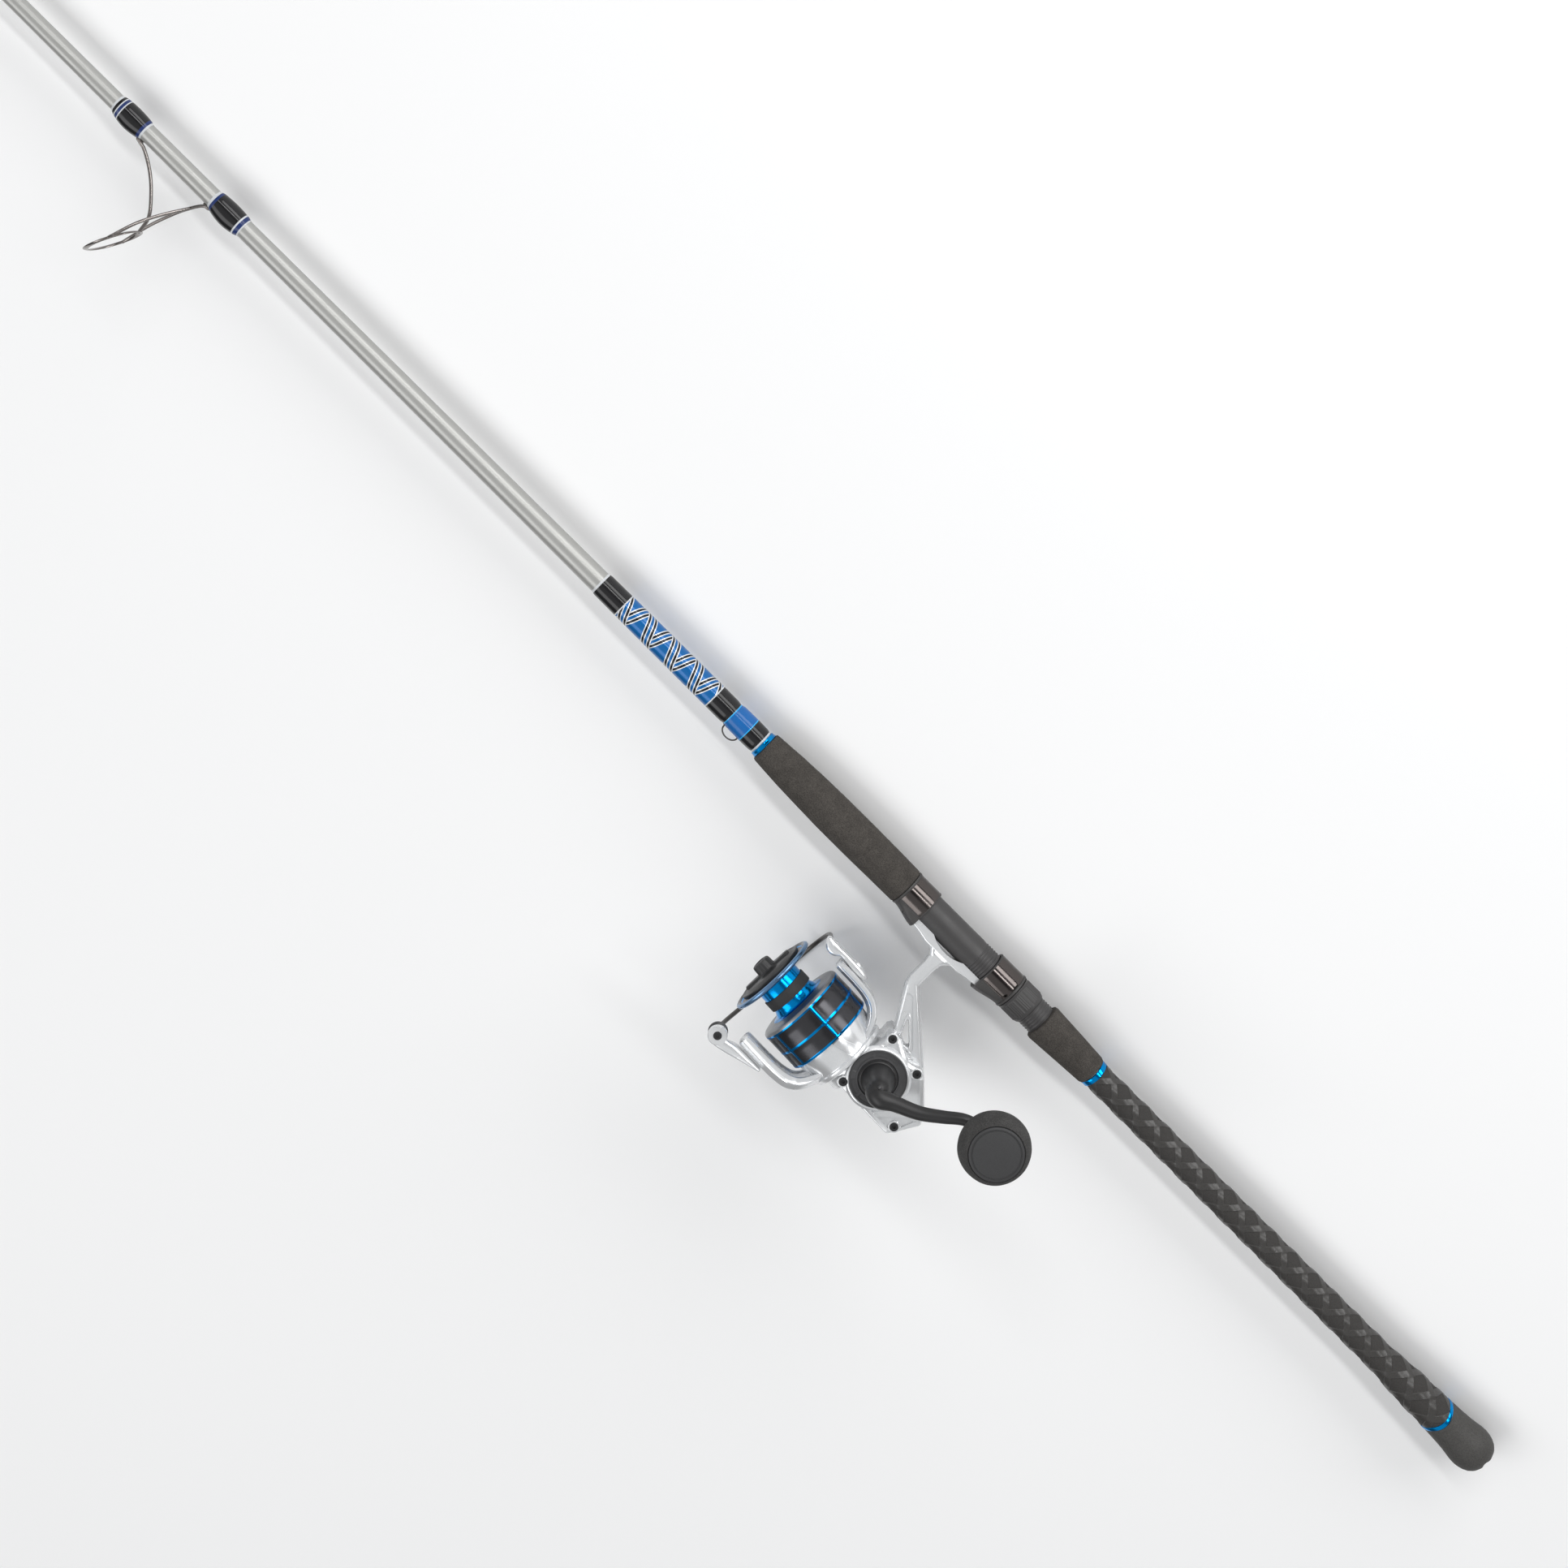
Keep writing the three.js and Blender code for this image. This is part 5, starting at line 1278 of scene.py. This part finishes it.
def cover():
    """The near side cover. Its face lies a little lower than its border, and the rear corner lower again."""
    top = HALF_BODY
    body = body_plate("cover", PARTING + 0.3, top, (0, 2.6))
    face = plate("face", inset(BODY_OUTLINE, BORDER), top - FACE_DEPTH, top + 3, corner=1.2)
    rear = plate("rear", REAR_PANEL, top - 2 * FACE_DEPTH, top + 3, corner=0.8)
    body = carve(body, face, rear)
    rim = [(top - 3, 16.8), (top - 3, 20.6), (top - 0.6, 20.4), (top + 1.1, 18.9), (top + 1.3, 18.4)]
    rim += [(top + 1.3, 17.7), (top - 0.4, 17.7), (top - 0.4, 16.8)]
    bosses = [spun("rim", closed(rounded(rim, 0.3)), "silver", CRANK, 120)]
    boss = rounded([(12, 0), (12, 4.4), (top + 0.2, 3.6), (top + 0.2, 0)], 0.4)
    bosses += [spun("boss", boss, "silver", (-station, y), 48) for station, y in SCREWS]
    body = carve(body, *bosses, operation="UNION")
    stem_room = squared([(480, -66), (400, -66), (400, -10), (480, -10)])
    body = carve(
        body,
        on_crank(PARTING - 1, 16.6, 16.4),
        reel_disc(10, 40, 20.7, 96),
        on_crank(14, top + 3, 4.1),
        on_crank(top, top + 4, 17.65),
        *(post("counterbore", top - 1.5, top + 2, 2.75, (-station, y)) for station, y in SCREWS),
        plate("stem_room", stem_room, 0, STEM_HALF + 0.6),
    )
    fix(body, "rod", "side_cover")


def cover_plate():
    """The dark ring plate round the crank's hub, with an inner ring line and shallow sunk arcs."""
    top = HALF_BODY + 1.0
    base = HALF_BODY + 0.1
    step = HALF_BODY + 0.7
    profile = [(base, 10.2), (base, 17.5), (top, 17.5), (top + 0.2, 17.25), (top + 0.2, 17.0)]
    profile += [(top, 16.7), (top, 16.2), (top - 0.01, 16.1), (top - 0.01, 13.9), (top, 13.8), (top, 13.5)]
    profile += [(top + 0.35, 13.2), (top + 0.4, 12.8), (top + 0.4, 12.4), (top + 0.1, 12.1), (step, 12.0)]
    profile += [(step, 10.2), (base, 10.2)]
    arcs = ((82, 140), (150, 206), (228, 262), (270, 312))
    arc_depth = 0.45

    def sink(height, radius, angle):
        inside = any(low <= math.degrees(angle) <= high for low, high in arcs)
        sunk = inside and 13.85 < radius < 16.15 and height > HALF_BODY + 0.8
        return height - (arc_depth if sunk else 0), radius

    fix(spun("crank_side_plate", profile, "plate", CRANK, 180, warp=sink), "rod", "cover_ring")
    low = -HALF_BODY - 2.4
    high = -HALF_BODY - GAP
    profile = [(low, 0), (low, 3), (low + 0.4, 3.4), (low + 0.4, 5.8), (low, 6.2), (low + 0.1, 7.2)]
    profile += [(low + 0.6, 7.9), (high, 8), (high, 3.5), (-17.4, 3.5), (-17.4, 0)]
    fix(spun("far_axle_cap", profile, "plate", CRANK), "rod", "far_side_cap")


def hex_screw(name, low, top, shank, head, head_height, at, body, node):
    """A black cap screw with a hexagonal socket."""
    socket = head * 0.52
    under = top - head_height
    bottom = top - head_height * 0.75
    profile = [(low, 0), (low, shank), (under, shank), (under, head), (top - 0.35, head), (top, head - 0.3)]
    profile += [(top, socket), (top - 0.1, socket), (bottom, socket), (bottom, 0)]

    def hexagon(height, radius, angle):
        if abs(radius - socket) < 1e-6:
            return height, radius * math.cos(math.pi / 6) / math.cos(angle % (math.pi / 3) - math.pi / 6)
        return height, radius

    fix(spun(name, profile, "black", at, 48, warp=hexagon), body, node)


def screws():
    for index, (station, y) in enumerate(SCREWS, 1):
        node = f"housing_screw_{index}"
        hex_screw(f"cap_screw_{index}", 4, HALF_BODY + 0.5, 1.5, 2.5, 1.8, (-station, y), "rod", node)


# ---------------------------------------------------------------- crank

KNOB_LOW, KNOB_HIGH = 62.4, 97
ARM_END_HEIGHT = 59


def crank():
    x, y = CRANK
    base = HALF_BODY + 1.45
    hub = [(base, 0), (base, 11.3), (base + 0.5, 11.6), (base + 1.5, 11.6), (base + 2.0, 11.2)]
    hub += [(base + 2.3, 10.6), (24.5, 10.4), (27, 10.1), (30, 9.5), (34, 8.6), (38, 7.7), (42, 7.0)]
    hub += [(45.5, 6.2), (48, 5.2), (50, 3.4), (50.8, 1.8), (51, 0)]
    route = [
        (0.2, -1.2, 38, 6.4), (0.9, -2.6, 43.5, 7.2), (4.2, -3.2, 47.6, 6.6), (11.3, 0.8, 49.6, 5.1),
        (25.5, 8.2, 52, 4.4), (36, 17, 54.6, 4.0), (46, 26.0, 57.4, 3.7), (56, 29.4, 58.8, 3.7),
        (64.4, 29.9, 59, 3.9),
    ]
    made = joined(
        "crank_arm",
        spun("hub", hub, "arm", CRANK),
        tube("limb", [(x + a, y + b, c, d) for a, b, c, d in route], REEL, "arm", None, 28, 8),
        post("eye", ARM_END_HEIGHT - 2.8, ARM_END_HEIGHT + 2.8, 5.2, KNOB, "arm", edge=0.8),
        post("spindle", ARM_END_HEIGHT, 90, 3, KNOB, "steel", 32),
        post("axle", 6.5, base + 1, 2.3, CRANK, "steel", 32),
        tube("rivet", [(x - 1.6, y + 1.4, 49.9), (x - 1.5, y + 1.5, 50.9)], REEL, "plate", 1.1, 20, 2),
    )
    fix(made, "crank", "handle_arm")


def knob():
    profile = [(KNOB_LOW, 3.3), (KNOB_LOW, 7.6), (KNOB_LOW + 0.5, 9.6), (KNOB_LOW + 1.6, 12.2), (64.9, 14.6)]
    profile += [(67, 17.2), (69.8, 19.1), (72.8, 20.6), (76, 21.4), (79, 21.7), (82.4, 21.5), (86, 20.9)]
    profile += [(89, 20.0), (91.6, 18.9), (93.6, 17.9), (94.8, 17.3), (95.2, 16.95), (95, 16.6), (93, 16.6)]
    profile += [(93, 3.3), (KNOB_LOW, 3.3)]

    def uneven(height, radius, angle):
        if radius < 17:
            return height, radius
        return height, radius + 0.05 * math.sin(3 * angle + height / 4) + 0.04 * math.sin(5 * angle)

    fix(spun("foam_knob", profile, "knob_foam", KNOB, 120, warp=uneven), "knob", "handle_knob")
    cap = [(93.2, 0), (93.2, 16.4), (95.2, 16.4), (95.9, 16.1), (96.2, 15.5), (96.25, 14.9), (95.9, 14.6)]
    cap += [(95.9, 14.2), (96.3, 13.9), (96.7, 10), (96.9, 5), (KNOB_HIGH, 0)]
    fix(spun("knob_end_cap", cap, "cap", KNOB, 120), "knob", "knob_cap")


# ---------------------------------------------------------------- rotor and bail

CUP_RADIUS = 25.6
ARM_SECTION = mirrored([
    (0.8, 0), (0.8, 0.66), (0.98, 0.74), (1, 0.84), (0.94, 0.94), (0.8, 1), (0.18, 1), (0.08, 0.97),
    (0.04, 0.9), (-0.08, 0.88), (-0.2, 0.9), (-0.86, 0.62), (-1, 0.5), (-1, 0),
])
UPPER_ARM = [
    (64, 35.2, 3.1, 8.2, 0), (50, 35.2, 3.1, 8.2, 0), (41, 34.6, 3.2, 8.2, 0), (34.5, 32.8, 3.3, 8.3, 0),
    (29.5, 29.8, 3.3, 8.6, 0), (25.6, 25.6, 3.0, 9.2, 0), (23, 20.6, 2.5, 10, 0), (21.6, 16, 2.0, 10.5, 0),
]
LOWER_ARM = [
    (69, -39.7, 3.8, 8.2, 0), (52, -39.8, 4.1, 8.2, 0), (41, -39.2, 4.3, 8.2, 0), (33.6, -37.6, 4.5, 8.3, 0),
    (28.8, -34.6, 4.2, 8.6, 0), (25.6, -29.6, 3.6, 9.4, 0), (23.2, -23.6, 2.8, 10, 0),
    (21.6, -17.6, 2.2, 10.5, 0),
]
# Raised wedges on the cone: [front turn, rear turn] of their two edges, from the viewer's side upwards.
WEDGES = (((14, 31), (1, 10)), ((-55, -80), (-78, -96)))


def wrapped(x, y, z):
    """Bends an arm round the spool's axis and widens it towards the rotor's rear."""
    station = -x
    wide = 1 + 0.9 * (1 - smoothstep(20, 36, station))
    radius = abs(y)
    angle = z * wide / max(radius, 20)
    return x, y * math.cos(angle), radius * math.sin(angle)


def cone_radius(station):
    return 23.4 + (CUP_RADIUS - 23.4) * smoothstep(21, 36, station)


def wedge(upper, lower, turn):
    """A raised facet on the cone, whose edges run from the spool's rim to the rotor's rear rim."""
    points, rows = [], []
    along, across = 10, 12
    for i in range(along + 1):
        share = i / along
        station = 36.4 - 15.6 * share
        high = math.radians(turn + upper[0] + (upper[1] - upper[0]) * share)
        low = math.radians(turn + lower[0] + (lower[1] - lower[0]) * share)
        row = []
        for k in range(across + 1):
            angle = low + (high - low) * k / across
            raised = -0.6 if k in (0, across) or i == 0 else 0.75
            radius = cone_radius(station) + raised
            row.append(len(points))
            points.append((-station, radius * math.sin(angle), radius * math.cos(angle)))
        rows.append(row)
    faces = [(a[k], a[k + 1], b[k + 1], b[k]) for a, b in zip(rows, rows[1:]) for k in range(across)]
    faces.append(tuple(rows[0] + rows[-1][::-1]))
    faces.append(tuple(row[0] for row in rows))
    faces.append(tuple(row[-1] for row in rows))
    return build("wedge", points, faces, REEL, ["silver"], crease=20)


def rotor():
    profile = [(18.0, 21.8), (18.0, 24.0), (18.5, 24.8), (19.6, 25.2), (20.9, 25.1), (21.4, 24.4)]
    profile += [(21.6, 23.4), *((station, cone_radius(station)) for station in range(23, 36, 2))]
    profile += [(36, CUP_RADIUS), (49.6, CUP_RADIUS), (50, 25.2), (50, 23.4), (35.6, 23.4), (35.6, 3.95)]
    profile += [(31.2, 3.95), (31.2, 14.8), (20.8, 14.8), (20.8, 21.8), (18.0, 21.8)]
    parts = [lathe("cup", profile, REEL, ["silver"], 144)]
    parts += [wedge(upper, lower, turn) for turn in (0, 180) for upper, lower in WEDGES]
    parts += [loft("arm", arm, ARM_SECTION, wrapped) for arm in (UPPER_ARM, LOWER_ARM)]
    fix(creased(gather("rotor_cup", *parts), 30), "rotor", "rotor")
    nut = [(35.9, 3.95), (35.9, 6.6), (36.3, 7), (38.5, 7), (38.9, 6.6), (38.9, 3.95), (35.9, 3.95)]
    fix(lathe("rotor_lock_nut", nut, REEL, ["steel"], 6, crease=10), "rotor", "rotor_nut")


LEVER = [
    (47.4, 39.6, 1.7, 4.4, 0), (50.5, 40.0, 2.5, 5.0, 0), (56, 40.2, 2.8, 5.1, 0), (64, 40.5, 2.4, 4.8, 0),
    (68.6, 40.2, 2.5, 4.5, 0), (72.2, 38.9, 4.0, 4.3, 0), (75.6, 38.8, 4.1, 4.2, 0),
    (78.6, 40.2, 2.7, 3.8, 0), (80, 41.0, 1.6, 3.4, 0),
]
BAIL_ARM = [
    (50, -45.5, 0.9, 7.2, 0), (57, -46.6, 2.0, 7.4, 0), (63, -47.5, 2.9, 7.3, 0.1),
    (68, -48.3, 3.6, 6.4, 1.0), (72, -49.1, 3.9, 4.9, 2.6), (75.4, -49.9, 3.7, 3.5, 4.3),
    (78.6, -50.4, 3.9, 2.7, 5.2), (82, -50.3, 4.5, 2.4, 5.6),
]
ROLLER_END_RADIUS = 6.1


def bail():
    lever = loft("lever", LEVER, soft_section(3.2), crease=60)
    pivot = REEL @ Matrix.Rotation(-math.pi / 2, 4, "X")
    collar = rounded([(41.6, 0), (41.6, 4.4), (43.3, 4.1), (43.3, 2.4), (42.9, 2.2), (42.9, 0)], 0.25)
    cap = spun("pivot_cap", collar, "silver", (PIVOT[0], 0), 40, pivot)
    fix(gather("bail_lever_arm", lever, cap), "bail", "bail_lever")

    x, y = ROLLER
    arm = loft("arm", BAIL_ARM, soft_section(3.6), crease=60)
    end = post("end", 3.4, 8.1, ROLLER_END_RADIUS, ROLLER, sides=72, edge=0.9)
    fix(gather("bail_roller_arm", arm, end), "bail", "bail_arm")
    hex_screw("roller_cap_screw", -7.2, 9, 1.3, 2.6, 1.0, ROLLER, "bail", "roller_screw")
    roller = [(-3.9, 1.75), (-3.9, 5.7), (-3.6, 6.1), (-2.8, 6.1), (-2.2, 5.4), (-1.4, 4.0), (-0.4, 3.7)]
    roller += [(0.8, 4.0), (1.8, 5.2), (2.4, 5.9), (3.0, 5.9), (3.2, 5.6), (3.2, 1.75), (-3.9, 1.75)]
    fix(spun("grooved_line_roller", roller, "plate", ROLLER, 60), "roller", "line_roller")
    route = [
        (-x, y, -5), (-x - 0.2, y - 0.2, -12), (82, -45.6, -26), (79.4, -35.6, -41), (77.4, -19, -51.5),
        (76.6, -1, -55), (76.4, 17, -51.5), (77, 32, -41), (78, 39.6, -25), (78, 40.4, -12), (77.6, 40.4, -3),
    ]
    wire = tube("wire", [(-a, b, c) for a, b, c in route], REEL, "wire", 1.45, 20, 8)
    cone = rounded([(-11, 0), (-11, 1.5), (-8, 2.6), (-6, 4.8), (-5.2, 6.0), (-4.2, 6.3), (-4.2, 0)], 0.5)
    ferrule = spun("ferrule", cone, "plate", ROLLER, 48)
    fix(joined("bail_loop", wire, ferrule), "bail", "bail_wire")


# ---------------------------------------------------------------- spool and drag

SKIRT_RADIUS = 28.8
BEAD_RADIUS = 29.0
RIBS = 6
RIB_TURN = math.radians(14)
RIB_HALF_WIDTH = math.radians(1.2)
RIB_HEIGHT = 0.22


def skirt_profile():
    """The dark skirt between its blue front and rear beads and its blue middle line."""
    made = [(36, 26.8, "blue"), (36, 28.4), (36.5, 28.9), (37.3, BEAD_RADIUS), (37.6, SKIRT_RADIUS, "skirt")]
    made += [(station, SKIRT_RADIUS) for station in (38, 44, 47.2)]
    made += [(47.5, 28.95, "blue"), (48.7, 28.95), (49.0, SKIRT_RADIUS, "skirt")]
    made += [(station, SKIRT_RADIUS) for station in (52, 56, 60.4)]
    return made + [(60.7, BEAD_RADIUS, "blue"), (61.4, BEAD_RADIUS), (61.8, SKIRT_RADIUS, "flange")]


def spool():
    bore = 26.8
    profile = skirt_profile()
    profile += [(63.0, 28.5), (63.7, 27.7), (64.0, 26.8), (64.2, 22), (64.5, 19.6), (64.9, 19.2, "blue")]
    profile += [(65.2, 17.8), (65.3, 16.2), (66.0, 15.6), (67.2, 15.2), (68.6, 14.4), (69.2, 14.2)]
    profile += [(70, 14.2), (78, 14.2), (83, 14.2), (83.4, 14.3), (83.9, 14.7), (84.3, 16.6), (84.6, 22)]
    profile += [(84.9, 25.4, "lip"), (85.2, 26.6), (85.7, 28.2), (86.2, 28.8), (86.9, 29.0), (87.6, 28.9)]
    profile += [(88.1, 28.4), (88.5, 27.4, "skirt"), (88.4, 26.4), (88.0, 25.6), (87.6, 25.2, "blue")]
    profile += [(87.4, 24.9), (87.1, 24.5, "skirt"), (86.8, 22.8), (86.0, 21.6), (86.0, 12.6), (85.8, 12.4)]
    profile += [(78, 12.4), (78, 2.2), (52, 2.2), (52, 8), (60.6, 8), (60.6, bore), (36, bore)]
    spacing = TAU / RIBS

    def from_rib(angle):
        return abs((angle - RIB_TURN + spacing / 2) % spacing - spacing / 2)

    def raise_ribs(station, radius, angle):
        on_rib = 37.5 < station < 60.6 and radius > 28 and from_rib(angle) < RIB_HALF_WIDTH
        return station, radius + (RIB_HEIGHT if on_rib else 0)

    def rib_look(current, station, angle):
        """The ribs are blue, and widen where they cross the middle line."""
        wide = math.radians(3.1 if abs(station - 48.1) < 1.4 else 1.1)
        on_rib = current == 0 and 37 < station < 60.8 and from_rib(angle) < wide
        return 1 if on_rib else current

    looks = ["skirt", "blue", "flange", "lip"]
    made = lathe("spool_body", profile, REEL, looks, 180, warp=raise_ribs, look_at=rib_look, crease=40)
    fix(made, "spool", "spool")
    band = lathe("rubber_arbor_band", sleeve(70.2, 77.4, 14.35, 15.1, 0.35), REEL, ["band"], 96)
    fix(band, "spool", "arbor_band")


def drag_knob():
    def flutes(station, radius, angle):
        if station > 91.4 and radius > 4.2:
            return station, radius - 0.35 * (0.5 + 0.5 * math.cos(14 * angle))
        return station, radius

    disc = [(86.1, 0), (86.1, 2.3), (86.1, 19), (87.4, 21.9), (88.4, 22.3), (89.6, 22.2), (90.0, 21.6)]
    disc += [(89.6, 20.6), (89.4, 19.8), (89.6, 19.0), (90.6, 17.6), (91.0, 13), (91.2, 9), (91.4, 7.4)]
    disc += [(92.2, 6.6), (93.5, 6.3), (96.2, 6.2), (97.6, 5.9), (98.2, 5.0), (98.4, 4.0), (98.4, 3.4)]
    disc += [(97.9, 3.1), (97.9, 0)]
    body = lathe("disc", disc, REEL, ["black"], 112, warp=flutes, crease=38)
    edge = [(-17.2, -2.0), (-16.2, -2.9), (-6, -4.2), (6, -4.2), (16.2, -2.9), (17.2, -2.0)]
    wing = [*edge, *((station, -y) for station, y in edge[::-1])]
    face = REEL @ Matrix.Rotation(math.pi / 2, 4, "Y") @ Matrix.Rotation(math.pi / 2, 4, "Z")
    bar = plate("bar", wing, -92.4, -88.6, (0.8, 0.8), face, "black", corner=1.2)
    fix(joined("drag_knob_disc", body, bar), "drag", "drag_knob")


# ---------------------------------------------------------------- nodes that keep their CAD shape

KEPT = {
    "steel": (
        "drive_bearing_far", "drive_bearing_near", "pinion_bearing", "main_shaft", "oscillation_slider",
    ),
    "brass": ("drive_gear", "pinion_gear"),
    "nylon": ("oscillation_gear",),
    "plate": ("anti_reverse_clutch",),
    "felt": ("drag_stack",),
}


def inner_nodes():
    for look, names in KEPT.items():
        for name in names:
            data = frame["nodes"][name].data
            data.materials.clear()
            data.materials.append(LOOKS[look].material)


camera()
floor()
light()
blank()
butt()
rings_and_foam()
thread_wraps()
guides()
tip()
seat()
hood("front_hood", FORE_GRIP - GAP, FIXED_MOUTH, 10.3, 11.8, "rod", "fixed_hood")
hood("rear_hood", SLIDING_HOOD + GAP, SLIDING_MOUTH, 10.5, 12.0, "locking_hood", "sliding_hood")
lock_nut()
housing()
cover()
cover_plate()
screws()
crank()
knob()
rotor()
bail()
spool()
drag_knob()
inner_nodes()
